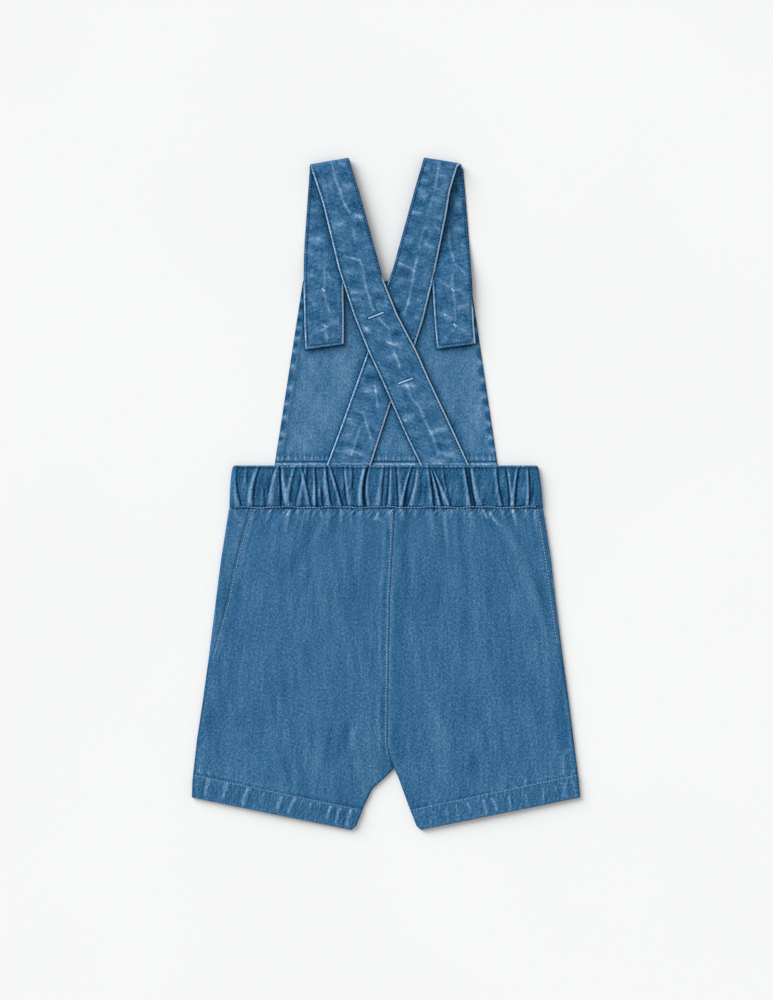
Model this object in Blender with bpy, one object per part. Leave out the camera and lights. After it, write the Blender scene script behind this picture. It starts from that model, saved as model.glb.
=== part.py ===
"""Kids' short denim dungarees, laid flat with the back uppermost.

Metres, +Z up. +Y runs from the hems to the tops of the straps, and -X is the wearer's left.
The garment rests on z = 0, with its outline centred on the origin. Each piece of cloth is a
closed wall between two grids of points, its face and its back. The front panels lie on the
floor and wrap up round the sides, the back panels lie on them, the bib continues the front,
and the straps run from under the back waistband, over each other, and fold down onto the bib.
Sizes are millimetres, and a mesh is turned to metres as it is made.
"""

import math

import bpy
import numpy as np
from mathutils import Vector
from mathutils.bvhtree import BVHTree

MM = 0.001
GAP = 0.3  # between pieces at a seam, and between cloth and what it lies on
CLEARANCE = 0.05  # more than GAP, where a flat strap crosses curved cloth

DENIM_WALL = 1.1
HEM_WALL = 1.7
FRONT_BAND_WALL = 2.0
STRAP_WALL = 1.8
STRAP_EDGE = 0.6  # thickness at a strap's pressed edges, as a share of its wall
HEM_ROPING = 0.5
BIB_WALL = 1.1
BIB_HEM_WALL = 1.95
BIB_EDGE_WALL = 1.4
BIB_PUCKER = 0.35

WAIST_SEAM_Y = -15.0
BAND_BACK_HOLLOW = 3.5  # height of the back waistband's underside
BAND_BEND = 3.25  # how far in from its side edge the back waistband turns under
BAND_INNER_BEND = 0.9  # and the bend of its inside there
BIB_FOOT_Y = 22.0
STRAP_FOOT_Y = 22.2
RAMP = 0.13  # steepest fall of a strap end from the bib to the floor

BUTTON_RADIUS = 7.5
BUTTON_THICK = 2.4
BUTTON_ROUND = 0.6
SHANK_RADIUS = 1.1
BUTTONHOLE_LENGTH = 17.0
BUTTONHOLE_WIDTH = 2.8
BUTTON_SIDES = 20
BIB_FLAT = 10.0  # the bib lies level this far from a button's middle
BIB_SPREAD = 30.0  # and meets the floor this far from it


def table(columns, *rows):
    """Rows of numbers, read by the name of their column."""
    return dict(zip(columns.split(), np.array(rows, float).T))


# The garment's side edges and each leg's inner edge: the centre seam down to the crotch,
# then the inseam.
SIDE = table(
    "y left right",
    (-303, -194, 194),
    (-286, -193.5, 192.5),
    (-246, -189, 187.5),
    (-206, -183, 182.5),
    (-166, -177.5, 177),
    (-106, -170, 169.5),
    (-66, -165, 165),
    (-15, -157, 157),
)
INNER = table(
    "y left right",
    (-335.6, -34.3, 34.7),
    (-331.6, -29.5, 30.3),
    (-311.8, -21.8, 22.6),
    (-295, -13.7, 16.4),
    (-287, -5, 13.6),
    (-281.7, 0.9, 11.5),
    (-274.4, 8, 8),
    (-266, 5, 5),
    (-250, 1.6, 1.6),
    (-196, 2.2, 2.2),
    (-106, 3.8, 3.8),
    (-15, 8.5, 8.5),
)
CROTCH_CURL = (-250.0, -279.0)  # the inner edges turn from a flat seam to a fold between these
SEAM_STEP = 0.5  # spacing of the level columns at the centre seam
SIDE_SEAM_EDGE = 0.6  # least width of the front panel past its side bend
EDGE_FADE = 7.0  # folds die out over this width at the folded edges

# How far the side seam lies from the side fold, over the back.
SIDE_SEAM = table(
    "y left right",
    (-171, 0, 0),
    (-154, 4.2, 1),
    (-131, 7.6, 2),
    (-103, 11.4, 2.5),
    (-71, 14.2, 2.8),
    (-15, 21, 3.5),
)

# The legs' rows from the waist seam to the hem's edge, level at the waist and slanted at the
# hem: where a row meets the side and the inner edge, and its wall, side bend and arch.
LEG = table(
    "step side inner wall bend arch",
    (0.0, WAIST_SEAM_Y, WAIST_SEAM_Y, DENIM_WALL, 1.45, 0.9),
    (0.1, -41, -45, DENIM_WALL, 1.3, 1.4),
    (0.3, -94, -105, DENIM_WALL, 1.1, 1.9),
    (0.864, -243, -274.4, DENIM_WALL, 1.0, 1.5),
    (1.0, -279.5, -315, DENIM_WALL, 1.0, 1.4),
    (1.01, -280.8, -316.3, HEM_WALL, 1.3, 1.1),
    (1.1, -301.6, -334.2, HEM_WALL, 1.3, 1.0),
    (1.11, -303, -335.6, DENIM_WALL, 1.3, 1.0),
)
LEG_STEPS = (
    0.0, 0.025, 0.06, 0.10, 0.15, 0.22, 0.30, 0.38, 0.46, 0.54, 0.62,
    0.70, 0.77, 0.83, 0.864, 0.90, 0.95, 1.0, 1.01, 1.06, 1.1, 1.11,
)  # fmt: skip
BACK_PANEL_COLUMNS = 26
FRONT_PANEL_COLUMNS = 5
BEND_COLUMNS = 3

# Folds that cross the shorts' back, ridges above 0 and troughs below it.
FOLDS = table(
    "x0 y0 x1 y1 height width",
    (-101, -21, -119, -43, 0.9, 6),
    (-121, -33, -131, -113, -0.5, 6),
    (-71, -38, -106, -93, -0.6, 6),
    (-59, -31, -86, -66, 0.9, 5),
    (-71, -78, -81, -98, -0.4, 5),
    (-51, -38, -51, -78, -0.5, 5),
    (-26, -26, -26, -106, 0.8, 6),
    (-91, -121, -114, -171, -0.5, 7),
    (-66, -148, -76, -196, -0.4, 8),
    (-144, -168, -184, -243, -0.6, 9),
    (-174, -181, -176, -213, 0.6, 7),
    (-156, -241, -134, -238, 0.5, 6),
    (-26, -228, -36, -268, 0.6, 4),
    (-34, -223, -46, -268, -0.5, 4),
    (-56, -243, -61, -276, -0.4, 4),
    (-71, -231, -69, -281, 0.5, 5),
    (19, -31, 11, -181, -0.7, 7),
    (44, -21, 51, -48, 0.8, 5),
    (56, -81, 49, -131, -0.4, 6),
    (74, -26, 76, -181, -0.7, 6),
    (84, -31, 91, -48, 0.8, 5),
    (104, -21, 129, -63, 0.8, 6),
    (129, -63, 176, -196, 0.8, 6),
    (104, -36, 141, -136, -0.5, 6),
    (131, -38, 164, -146, -0.4, 5),
    (104, -61, 106, -156, -0.35, 6),
    (29, -186, 64, -271, 0.6, 6),
    (26, -218, 46, -301, -0.6, 7),
    (99, -251, 81, -283, -0.5, 7),
    (157, -106, 180, -291, 0.6, 5),
)

# Short folds run down from the waistband's gathers: their lengths are uneven about this one.
WAIST_FOLD_START = 8.0
WAIST_FOLD_LENGTH = 24.0
WAIST_FOLD_UNEVEN = 12.0
WAIST_FOLD_WIDTH = 3.6
WAIST_FOLD_HEIGHT = 0.55  # as a share of the gather above
WAIST_FOLD_SPREAD = 1.03

# The gathers of the elastic back waistband: a crest at its top edge and at its seam.
GATHERS = table(
    "top foot height",
    (-147.2, -146.5, 1.2),
    (-139.5, -139.8, 0.6),
    (-127, -133, 1.5),
    (-109.5, -116, 1.7),
    (-102.5, -99.5, 1.3),
    (-92.5, -94.5, 1.0),
    (-86, -87, 1.4),
    (-79.5, -77, 1.3),
    (-72.5, -71, 0.9),
    (-66.3, -65, 0.8),
    (-61, -56.5, 1.3),
    (-55.5, -44.5, 1.6),
    (-43, -38.8, 0.7),
    (-34.5, -33.5, 1.2),
    (-20, -26, 1.5),
    (-14, -18.5, 1.3),
    (-3.2, -6.3, 1.4),
    (4.8, 3.8, 1.3),
    (12, 12, 1.0),
    (25.7, 17.5, 1.6),
    (32.5, 25, 1.3),
    (41.5, 50, 1.3),
    (46, 58.5, 1.7),
    (57, 65, 0.6),
    (77.5, 81, 1.1),
    (86.2, 92.5, 1.7),
    (109, 113.5, 1.3),
    (119.8, 122.8, 1.4),
    (129.5, 128.5, 1.2),
    (141, 141.5, 1.1),
)
BAND_ENDS = table(
    "y left right",
    (-14.7, -156.5, 157),
    (4, -156, 155.5),
    (14, -155.2, 154.2),
    (23, -154.2, 152.8),
    (27, -153, 152),
    (28.5, -151.3, 150.6),
)

# The back waistband from its seam to its top edge: its height and its share of the gathers.
BAND_ROWS = table(
    "y height gather",
    (-14.7, 5.0, 0.4),
    (-12.0, 5.7, 0.8),
    (-6.0, 6.3, 1.0),
    (6.0, 6.6, 1.0),
    (18.0, 6.5, 1.0),
    (24.0, 5.9, 0.8),
    (26.0, 6.2, 0.8),
    (27.9, 5.3, 0.6),
    (28.5, 4.7, 0.3),
)
BAND_VALLEY = -0.2

# The front waistband's rows, thinner at its edges.
FRONT_BAND_COLUMNS = 9
FRONT_BAND_ROWS = table(
    "y wall",
    (-14.7, 1.5),
    (-13.5, FRONT_BAND_WALL),
    (20.5, FRONT_BAND_WALL),
    (21.7, 1.5),
)

# The bib's columns, from its lower corners up to its top edge, and the wall of each.
BIB = table(
    "foot top wall",
    (-112.5, -83, BIB_EDGE_WALL),
    (-108.5, -79.3, BIB_HEM_WALL),
    (-104, -75.3, BIB_WALL),
    (-94, -70, BIB_WALL),
    (-80, -61, BIB_WALL),
    (-64, -52, BIB_WALL),
    (-44, -36, BIB_WALL),
    (0, 0, BIB_WALL),
    (48, 42, BIB_WALL),
    (72, 58, BIB_WALL),
    (90, 68, BIB_WALL),
    (104, 76.8, BIB_WALL),
    (108.5, 80.8, BIB_HEM_WALL),
    (112.5, 84.5, BIB_EDGE_WALL),
)
BIB_TOP_Y = 213.0
BIB_ROWS = 43
BIB_TOP_HEM = table("down wall", (0, BIB_EDGE_WALL), (3.5, BIB_HEM_WALL), (9, BIB_WALL))

# The straps: both edges and the height of their middle, from under the waistband to the fold,
# then from the fold down to the end that lies on the bib.
STRAP_RUN = {
    "left": table(
        "left_x left_y right_x right_y lift",
        (37.8, STRAP_FOOT_Y, 85.2, STRAP_FOOT_Y, 2.3),
        (34, 31, 81.3, 31, 2.35),
        (20.6, 58.6, 68.8, 58.6, 3.2),
        (4.3, 93.3, 52.4, 93.3, 4.9),
        (-17.1, 142.3, 31.1, 142.3, 6.0),
        (-31.4, 178, 12.3, 178, 7.1),
        (-42.6, 211.7, -1.4, 211.7, 8.5),
        (-46.6, 224, -6, 224, 9.0),
        (-62.5, 290, -25.5, 293, 8.7),
        (-75, 329.5, -37.5, 336, 8.1),
    ),
    "right": table(
        "left_x left_y right_x right_y lift",
        (-61.2, STRAP_FOOT_Y, -17.7, STRAP_FOOT_Y, 2.3),
        (-57.9, 31, -15, 31, 2.35),
        (-45.7, 63.7, -4.7, 63.7, 2.4),
        (-35.9, 91.2, 4.3, 91.2, 2.45),
        (-18.1, 141.2, 25.7, 141.2, 2.75),
        (-9.3, 171.9, 35.9, 171.9, 3.4),
        (0.7, 206.6, 44.4, 206.6, 5.0),
        (6.8, 224, 48.5, 224, 6.6),
        (22, 279, 59.7, 279, 8.4),
        (29.8, 306, 63.2, 302, 8.9),
        (38, 336, 71, 330.6, 8.9),
    ),
}
STRAP_END = {
    "left": table(
        "left_x left_y right_x right_y lift",
        (-76.4, 329, -38.8, 335.5, 0.9),
        (-78.3, 294, -40.8, 294, 0.9),
        (-81.7, 210, -43.2, 208, 0.9),
        (-81, 171, -42.7, 171, 0.9),
        (-79.8, 144.4, -42.9, 149.6, 0.9),
    ),
    "right": table(
        "left_x left_y right_x right_y lift",
        (39.5, 336, 77.5, 329.7, 0.9),
        (44, 260, 81, 260, 0.9),
        (46.9, 213, 85, 209.4, 0.9),
        (48.8, 176, 87, 171, 0.9),
        (51.7, 145, 89, 150.1, 0.9),
    ),
}
STRAP_ACROSS = np.array([0.0, 0.06, 0.5, 0.94, 1.0])
STRAP_RUN_STATIONS = 28
STRAP_FOLD_STATIONS = 7
STRAP_END_STATIONS = 16
STRAP_REACH = (7.0, 12.0)  # a strap clears the highest point this near to it, across and along

BUTTONS = {
    "button_left_upper": (-62.1, 203.5),
    "button_left_lower": (-60.2, 167.3),
    "button_right_upper": (66.8, 203.5),
    "button_right_lower": (69.0, 168.3),
}

# Colour, roughness and metallic value of each material.
MATERIALS = {
    "denim_body": ((0.040, 0.150, 0.300, 1.0), 0.9, 0.0),
    "denim_bib": ((0.070, 0.180, 0.320, 1.0), 0.9, 0.0),
    "denim_strap": ((0.060, 0.160, 0.290, 1.0), 0.9, 0.0),
    "denim_band": ((0.032, 0.115, 0.230, 1.0), 0.9, 0.0),
    "button_resin": ((0.360, 0.270, 0.170, 1.0), 0.4, 0.0),
}


def smooth(value):
    """0 to 1 with level ends."""
    value = np.clip(value, 0.0, 1.0)
    return value * value * (3.0 - 2.0 * value)


def read(rows, column, at):
    """A table's column read between its rows, against its first column."""
    return np.interp(at, rows[next(iter(rows))], rows[column])


def clear_scene():
    """Remove what the file opened with."""
    for thing in list(bpy.data.objects):
        bpy.data.objects.remove(thing, do_unlink=True)


def material(name):
    """One of the plain materials, each made as it is asked for."""
    colour, roughness, metallic = MATERIALS[name]
    made = bpy.data.materials.new(name)
    made.use_nodes = True
    shader = made.node_tree.nodes["Principled BSDF"]
    shader.inputs["Base Color"].default_value = colour
    shader.inputs["Roughness"].default_value = roughness
    shader.inputs["Metallic"].default_value = metallic
    return made


def add_mesh(name, points, faces, material_name):
    """An object from points in millimetres, shaded smooth up to 40 degrees."""
    mesh = bpy.data.meshes.new(name)
    mesh.from_pydata((np.asarray(points, float) * MM).tolist(), [], faces)
    mesh.shade_smooth()
    mesh.set_sharp_from_angle(angle=math.radians(40))
    mesh.materials.append(material(material_name))
    made = bpy.data.objects.new(name, mesh)
    bpy.context.scene.collection.objects.link(made)
    return made


def wall_mesh(face, back):
    """Points and outward triangles of the closed wall between two grids of the same shape.

    Every cell is cut along the same diagonal, so that edges that face each other over a
    seam stay apart where they twist.
    """
    rows, columns = face.shape[:2]
    count = rows * columns
    index = np.arange(count).reshape(rows, columns)
    corners = (index[:-1, :-1], index[:-1, 1:], index[1:, 1:], index[1:, :-1])
    cells = np.stack(corners, axis=-1).reshape(-1, 4)
    rim = np.concatenate([index[0, :-1], index[:-1, -1], index[-1, :0:-1], index[:0:-1, 0]])
    after = np.roll(rim, -1)
    edge = np.stack([after, rim, rim + count, after + count], axis=-1)
    cells = np.concatenate([cells, cells[:, ::-1] + count])
    triangles = np.concatenate([
        cells[:, [0, 1, 2]], cells[:, [0, 2, 3]], edge[:, [0, 1, 3]], edge[:, [1, 2, 3]],
    ])
    points = np.concatenate([face.reshape(-1, 3), back.reshape(-1, 3)])
    a, b, c = (points[triangles[:, corner]] for corner in range(3))
    if np.einsum("ij,ij->i", a, np.cross(b, c)).sum() < 0:
        triangles = triangles[:, ::-1]
    return points, triangles.tolist()


def add_wall(name, face, back, material_name):
    """A piece of cloth as an object, and the tree that finds its surface."""
    points, triangles = wall_mesh(face, back)
    made = add_mesh(name, points, triangles, material_name)
    return made, BVHTree.FromPolygons([Vector(point) for point in points], triangles)


def top_under(x, y, below, reach):
    """The highest point of the pieces below within reach of a spot, or 0 for the floor."""
    top = 0.0
    for across in np.linspace(-reach[0], reach[0], 7):
        for along in np.linspace(-reach[1], reach[1], 11):
            start = Vector((x + across, y + along, 100.0))
            for tree in below:
                hit = tree.ray_cast(start, Vector((0.0, 0.0, -1.0)))[0]
                if hit is not None:
                    top = max(top, hit.z)
    return top


def fold_relief(x, y):
    """Rise of the shorts' back: its long folds and the short ones under the waistband."""
    rise = np.zeros_like(x)
    for x0, y0, x1, y1, height, width in zip(*FOLDS.values()):
        rise += ridge(x, y, (x0, y0), (x1, y1), height, width)
    for number, (foot, height) in enumerate(zip(GATHERS["foot"], GATHERS["height"])):
        length = WAIST_FOLD_LENGTH + WAIST_FOLD_UNEVEN * math.sin(2.3 * number)
        start = (foot, WAIST_SEAM_Y + WAIST_FOLD_START)
        end = (foot * WAIST_FOLD_SPREAD, WAIST_SEAM_Y - length)
        rise += ridge(x, y, start, end, WAIST_FOLD_HEIGHT * height, WAIST_FOLD_WIDTH)
    return rise


def ridge(x, y, start, end, height, width):
    """A soft ridge along a line: a bell across it that fades at both ends."""
    run_x, run_y = end[0] - start[0], end[1] - start[1]
    length = math.hypot(run_x, run_y)
    along = ((x - start[0]) * run_x + (y - start[1]) * run_y) / length**2
    across = ((x - start[0]) * run_y - (y - start[1]) * run_x) / length
    fade = smooth((along + 0.15) / 0.3) * smooth((1.15 - along) / 0.45)
    return height * fade * np.exp(-((across / width) ** 2))


def leg_row(side, step):
    """One row of a leg: its ends, direction, wall, bend, arch, side seam and inner curl."""
    side_y = read(LEG, "side", step)
    inner_y = read(LEG, "inner", step)
    outer = np.array([read(SIDE, side, side_y), side_y])
    inner = np.array([read(INNER, side, inner_y), inner_y])
    width = np.linalg.norm(inner - outer)
    high, low = CROTCH_CURL
    return {
        "outer": outer,
        "along": (inner - outer) / width,
        "width": width,
        "wall": read(LEG, "wall", step),
        "bend": read(LEG, "bend", step),
        "arch": read(LEG, "arch", step),
        "seam": read(SIDE_SEAM, side, side_y),
        "curl": float(smooth((high - inner_y) / (high - low))),
    }


def side_path(row, arc):
    """The wall's middle round the side fold, by its distance from the fold's outermost line.

    Above 0 it runs up and over the back, below 0 it runs down and along the floor. Returns
    the distance in from the side, the height, and the outward direction in that plane.
    """
    bend, wall = row["bend"], row["wall"]
    size = np.abs(arc)
    turn = np.clip(size - GAP / 2, 0.0, bend * math.pi / 2) / bend
    straight = np.clip(size - GAP / 2 - bend * math.pi / 2, 0.0, None)
    rise = np.minimum(size, GAP / 2) + bend * np.sin(turn)
    inward = wall / 2 + bend * (1.0 - np.cos(turn)) + straight
    height = wall / 2 + bend + GAP / 2 + np.sign(arc) * rise
    return inward, height, -np.cos(turn), np.sign(arc) * np.sin(turn)


def inner_end(row, over_back):
    """The wall's last columns: a flat edge at the centre seam, a quarter round at the inseam."""
    steps = np.arange(BEND_COLUMNS + 1)
    turn = row["curl"] * math.pi / 2 * steps / BEND_COLUMNS
    level = SEAM_STEP * (1.0 - row["curl"]) * steps
    reach = (row["bend"] + row["wall"] / 2) * math.sin(turn[-1]) + level[-1]
    inward = row["width"] - GAP / 2 - reach + row["bend"] * np.sin(turn) + level
    drop = row["bend"] * (1.0 - np.cos(turn))
    floor = row["wall"] / 2
    top = floor + 2 * row["bend"] + GAP
    height = top - drop if over_back else floor + drop
    return inward, height, np.sin(turn), np.cos(turn) * (1.0 if over_back else -1.0)


def back_rise(row, inward, x, y):
    """How far the back lies above its folded edges: the arch of the leg and its folds."""
    edge = row["wall"] / 2 + row["bend"]
    share = np.clip((inward - edge) / (row["width"] - edge), 0.0, 1.0)
    curl = row["curl"]
    arch = (1 - curl) * np.sin(share * math.pi / 2) + curl * np.sin(share * math.pi)
    inner = 1 - curl * (1 - smooth((row["width"] - inward) / EDGE_FADE))
    ends = smooth((inward - edge) / EDGE_FADE) * inner
    return row["arch"] * arch + fold_relief(x, y) * ends


def leg_columns(row, over_back):
    """One row's points along a panel, from the side seam to the inner edge."""
    quarter = GAP / 2 + row["bend"] * math.pi / 2
    end = inner_end(row, over_back)
    if over_back:
        start = row["seam"] + GAP / 2
        arc = start + (quarter - GAP / 2) * np.linspace(0.0, 1.0, BEND_COLUMNS + 1)
        count = BACK_PANEL_COLUMNS
    else:
        start = row["seam"] - GAP / 2
        bend_start = min(start - SIDE_SEAM_EDGE, quarter)
        arc = np.concatenate([
            [start, (start + bend_start) / 2],
            np.linspace(bend_start, -quarter, 2 * BEND_COLUMNS - 1),
        ])
        count = FRONT_PANEL_COLUMNS
    first = side_path(row, arc)
    inward = np.linspace(first[0][-1], end[0][0], count + 1)[1:-1]
    level = np.full_like(inward, end[1][0])
    facing = np.full_like(inward, 1.0 if over_back else -1.0)
    middle = (inward, level, np.zeros_like(inward), facing)
    return [np.concatenate(parts) for parts in zip(first, middle, end)]


def leg_panel(side, over_back):
    """The face and back grids of a leg's back or front panel."""
    face, back = [], []
    for step in LEG_STEPS:
        row = leg_row(side, step)
        inward, height, out_along, out_up = leg_columns(row, over_back)
        x = row["outer"][0] + row["along"][0] * inward
        y = row["outer"][1] + row["along"][1] * inward
        upper = out_up > 0.0
        height = height + np.where(upper, back_rise(row, inward, x, y), 0.0)
        half = row["wall"] / 2
        roping = np.zeros_like(inward)
        if over_back and step > 1.0:
            number = np.arange(len(inward))
            uneven = 0.7 + 0.3 * np.sin(1.9 * number)
            share = math.sin(math.pi * min(1.0, (step - 1.0) / 0.08)) * 0.4 + 0.6
            roping = HEM_ROPING * share * uneven * (number % 2) * smooth(out_up)
        for grid, offset in ((face, half + roping), (back, -half)):
            grid.append(np.stack([
                x + row["along"][0] * out_along * offset,
                y + row["along"][1] * out_along * offset,
                height + out_up * offset,
            ], axis=-1))
    return np.array(face), np.array(back)


def back_band():
    """The elastic back waistband: gathered above, plain inside, turned under at the sides."""
    turns = np.radians(np.linspace(-90.0, 90.0, 2 * BEND_COLUMNS + 1))
    face, back = [], []
    for y, height, gather in zip(*BAND_ROWS.values()):
        share = (y - BAND_ROWS["y"][0]) / np.ptp(BAND_ROWS["y"])
        crest = GATHERS["foot"] + (GATHERS["top"] - GATHERS["foot"]) * share
        left = read(BAND_ENDS, "left", y) + BAND_BEND
        right = read(BAND_ENDS, "right", y) - BAND_BEND
        valley = np.concatenate([
            [(left + crest[0]) / 2], (crest[:-1] + crest[1:]) / 2, [(crest[-1] + right) / 2],
        ])
        x = np.empty(len(crest) + len(valley))
        x[0::2], x[1::2] = valley, crest
        z = np.full(len(x), height + BAND_VALLEY * gather)
        z[1::2] = height + GATHERS["height"] * gather
        hollow = (BAND_BACK_HOLLOW - FRONT_BAND_WALL) / 2
        for grid, wide, tall, middle, flat_z in (
            (face, BAND_BEND, height / 2, height / 2, z),
            (back, BAND_INNER_BEND, hollow, FRONT_BAND_WALL + hollow, np.full(len(x), BAND_BACK_HOLLOW)),
        ):
            bend_x = wide * np.cos(turns)
            bend_z = middle + tall * np.sin(turns)
            grid_x = np.concatenate([left - bend_x, x, right + bend_x[::-1]])
            grid_z = np.concatenate([bend_z, flat_z, bend_z[::-1]])
            grid.append(np.stack([grid_x, np.full_like(grid_x, y), grid_z], axis=-1))
    return np.array(face), np.array(back)


def front_band():
    """The plain front waistband, flat on the floor between the back one's turned ends."""
    face, back = [], []
    for y, wall in zip(*FRONT_BAND_ROWS.values()):
        left = read(BAND_ENDS, "left", y) + BAND_BEND + GAP
        right = read(BAND_ENDS, "right", y) - BAND_BEND - GAP
        x = np.linspace(left, right, FRONT_BAND_COLUMNS)
        row = np.full_like(x, y)
        face.append(np.stack([x, row, np.full_like(x, wall)], axis=-1))
        back.append(np.stack([x, row, np.zeros_like(x)], axis=-1))
    return np.array(face), np.array(back)


def bib_lift(x, y):
    """Height of the bib's underside, which the four buttons raise from the floor."""
    lift = np.zeros_like(x)
    for button_x, button_y in BUTTONS.values():
        away = np.hypot(x - button_x, y - button_y)
        near = smooth((BIB_SPREAD - away) / (BIB_SPREAD - BIB_FLAT))
        lift = np.maximum(lift, (BUTTON_THICK + GAP) * near)
    return lift


def bib():
    """The bib: a single layer with turned and puckered side hems and a turned top edge."""
    face, back = [], []
    for number, y in enumerate(np.linspace(BIB_FOOT_Y, BIB_TOP_Y, BIB_ROWS)):
        share = (y - BIB_FOOT_Y) / (BIB_TOP_Y - BIB_FOOT_Y)
        x = BIB["foot"] + (BIB["top"] - BIB["foot"]) * share
        wall = np.maximum(BIB["wall"], read(BIB_TOP_HEM, "wall", BIB_TOP_Y - y))
        if number == BIB_ROWS - 1:
            wall = np.full_like(x, BIB_EDGE_WALL)
        uneven = 0.65 + 0.35 * math.sin(1.7 * number)
        wall = wall + BIB_PUCKER * uneven * (number % 2) * (BIB["wall"] == BIB_HEM_WALL)
        row = np.full_like(x, y)
        lift = bib_lift(x, row)
        face.append(np.stack([x, row, lift + wall], axis=-1))
        back.append(np.stack([x, row, lift], axis=-1))
    return np.array(face), np.array(back)


def strap_stations(rows, count):
    """Left and right edge points and heights, evenly spaced along a strap's middle line."""
    left = np.stack([rows["left_x"], rows["left_y"]], axis=-1)
    right = np.stack([rows["right_x"], rows["right_y"]], axis=-1)
    middle = (left + right) / 2
    length = np.concatenate([[0.0], np.cumsum(np.linalg.norm(np.diff(middle, axis=0), axis=1))])
    at = np.linspace(0.0, length[-1], count)

    def spread(values):
        return np.interp(at, length, values)

    left = np.stack([spread(rows["left_x"]), spread(rows["left_y"])], axis=-1)
    right = np.stack([spread(rows["right_x"]), spread(rows["right_y"])], axis=-1)
    return left, right, spread(rows["lift"])


def moved_in(rows, end, distance):
    """A strap's table with its row at the fold line moved back to the fold's axis."""
    rows = {name: values.copy() for name, values in rows.items()}
    across_x = rows["right_x"][end] - rows["left_x"][end]
    across_y = rows["right_y"][end] - rows["left_y"][end]
    width = math.hypot(across_x, across_y)
    out = np.array([-across_y, across_x]) / width
    for edge in ("left", "right"):
        rows[f"{edge}_x"][end] -= out[0] * distance
        rows[f"{edge}_y"][end] -= out[1] * distance
    return rows, out


def across_strap(left, right, height):
    """A grid of points over the strap's width, one row for each station."""
    share = STRAP_ACROSS[None, :, None]
    flat = left[:, None, :] * (1 - share) + right[:, None, :] * share
    high = np.broadcast_to(height[:, None, None], flat.shape[:2] + (1,))
    return np.concatenate([flat, high], axis=-1)


def strap(side, below):
    """A strap from under the waistband, up over its fold and down to its end on the bib."""
    half = STRAP_WALL / 2
    run_rows, end_rows = STRAP_RUN[side], STRAP_END[side]
    radius = (run_rows["lift"][-1] - end_rows["lift"][0]) / 2
    run_rows, out = moved_in(run_rows, -1, radius + half)
    end_rows, _ = moved_in(end_rows, 0, radius + half)
    run = across_strap(*strap_stations(run_rows, STRAP_RUN_STATIONS))
    end = across_strap(*strap_stations(end_rows, STRAP_END_STATIONS))
    for grid in (run, end):
        for point in grid.reshape(-1, 3):
            under = top_under(point[0], point[1], below, STRAP_REACH)
            if under > 0.0:
                point[2] = max(point[2], under + GAP + half + CLEARANCE)
    for order in (range(1, len(end)), range(len(end) - 2, -1, -1)):
        for number in order:
            before = number - 1 if order.step > 0 else number + 1
            step = np.linalg.norm(end[number, :, :2] - end[before, :, :2], axis=-1)
            end[number, :, 2] = np.maximum(end[number, :, 2], end[before, :, 2] - RAMP * step)
    end[0, :, 2] = end_rows["lift"][0]
    turn = np.linspace(math.pi / 2, -math.pi / 2, STRAP_FOLD_STATIONS + 2)[1:-1]
    share = (np.arange(1, STRAP_FOLD_STATIONS + 1) / (STRAP_FOLD_STATIONS + 1))[:, None, None]
    fold = run[-1][None] * (1 - share) + end[0][None] * share
    fold[:, :, :2] += (radius * np.cos(turn))[:, None, None] * out[None, None, :]
    fold[:, :, 2] = (end_rows["lift"][0] + radius + radius * np.sin(turn))[:, None]
    middle = np.concatenate([run, fold, end])
    normal = np.cross(np.gradient(middle, axis=1), np.gradient(middle, axis=0))
    normal /= np.linalg.norm(normal, axis=-1, keepdims=True)
    if normal[0, 0, 2] < 0:
        normal = -normal
    edge = np.where((STRAP_ACROSS == 0.0) | (STRAP_ACROSS == 1.0), STRAP_EDGE, 1.0)
    offset = normal * (half * edge)[None, :, None]
    face, back = middle + offset, middle - offset
    face[..., 2] = np.maximum(face[..., 2], 0.0)
    return face, back


def buttonhole_cutter():
    """Four lens-shaped prisms that cut the bib's buttonholes, each round its button's shank."""
    points, faces = [], []
    arc = np.linspace(-1.0, 1.0, 9)
    half_width = BUTTONHOLE_WIDTH / 2 * np.sqrt(1.0 - arc[1:-1] ** 4)
    upper = np.stack([arc[1:-1], half_width], axis=-1)
    outline = np.concatenate([[[-1.0, 0.0]], upper, [[1.0, 0.0]], upper[::-1] * [1.0, -1.0]])
    outline = outline * [BUTTONHOLE_LENGTH / 2, 1.0]
    count = len(outline)
    for x, y in BUTTONS.values():
        start = len(points)
        for z in (-2.0, 12.0):
            points.extend((x + across, y + along, z) for across, along in outline)
        low = list(range(start, start + count))
        high = [corner + count for corner in low]
        faces.append(low)
        faces.append(high[::-1])
        for number in range(count):
            after = (number + 1) % count
            faces.append([low[number], high[number], high[after], low[after]])
    cutter = add_mesh("buttonhole_cutter", points, faces, "button_resin")
    cutter.hide_render = True
    cutter.display_type = "WIRE"
    return cutter


def cut_buttonholes(piece):
    """Cut the buttonholes through the bib."""
    cut = piece.modifiers.new("buttonholes", "BOOLEAN")
    cut.operation = "DIFFERENCE"
    cut.solver = "EXACT"
    cut.object = buttonhole_cutter()


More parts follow.
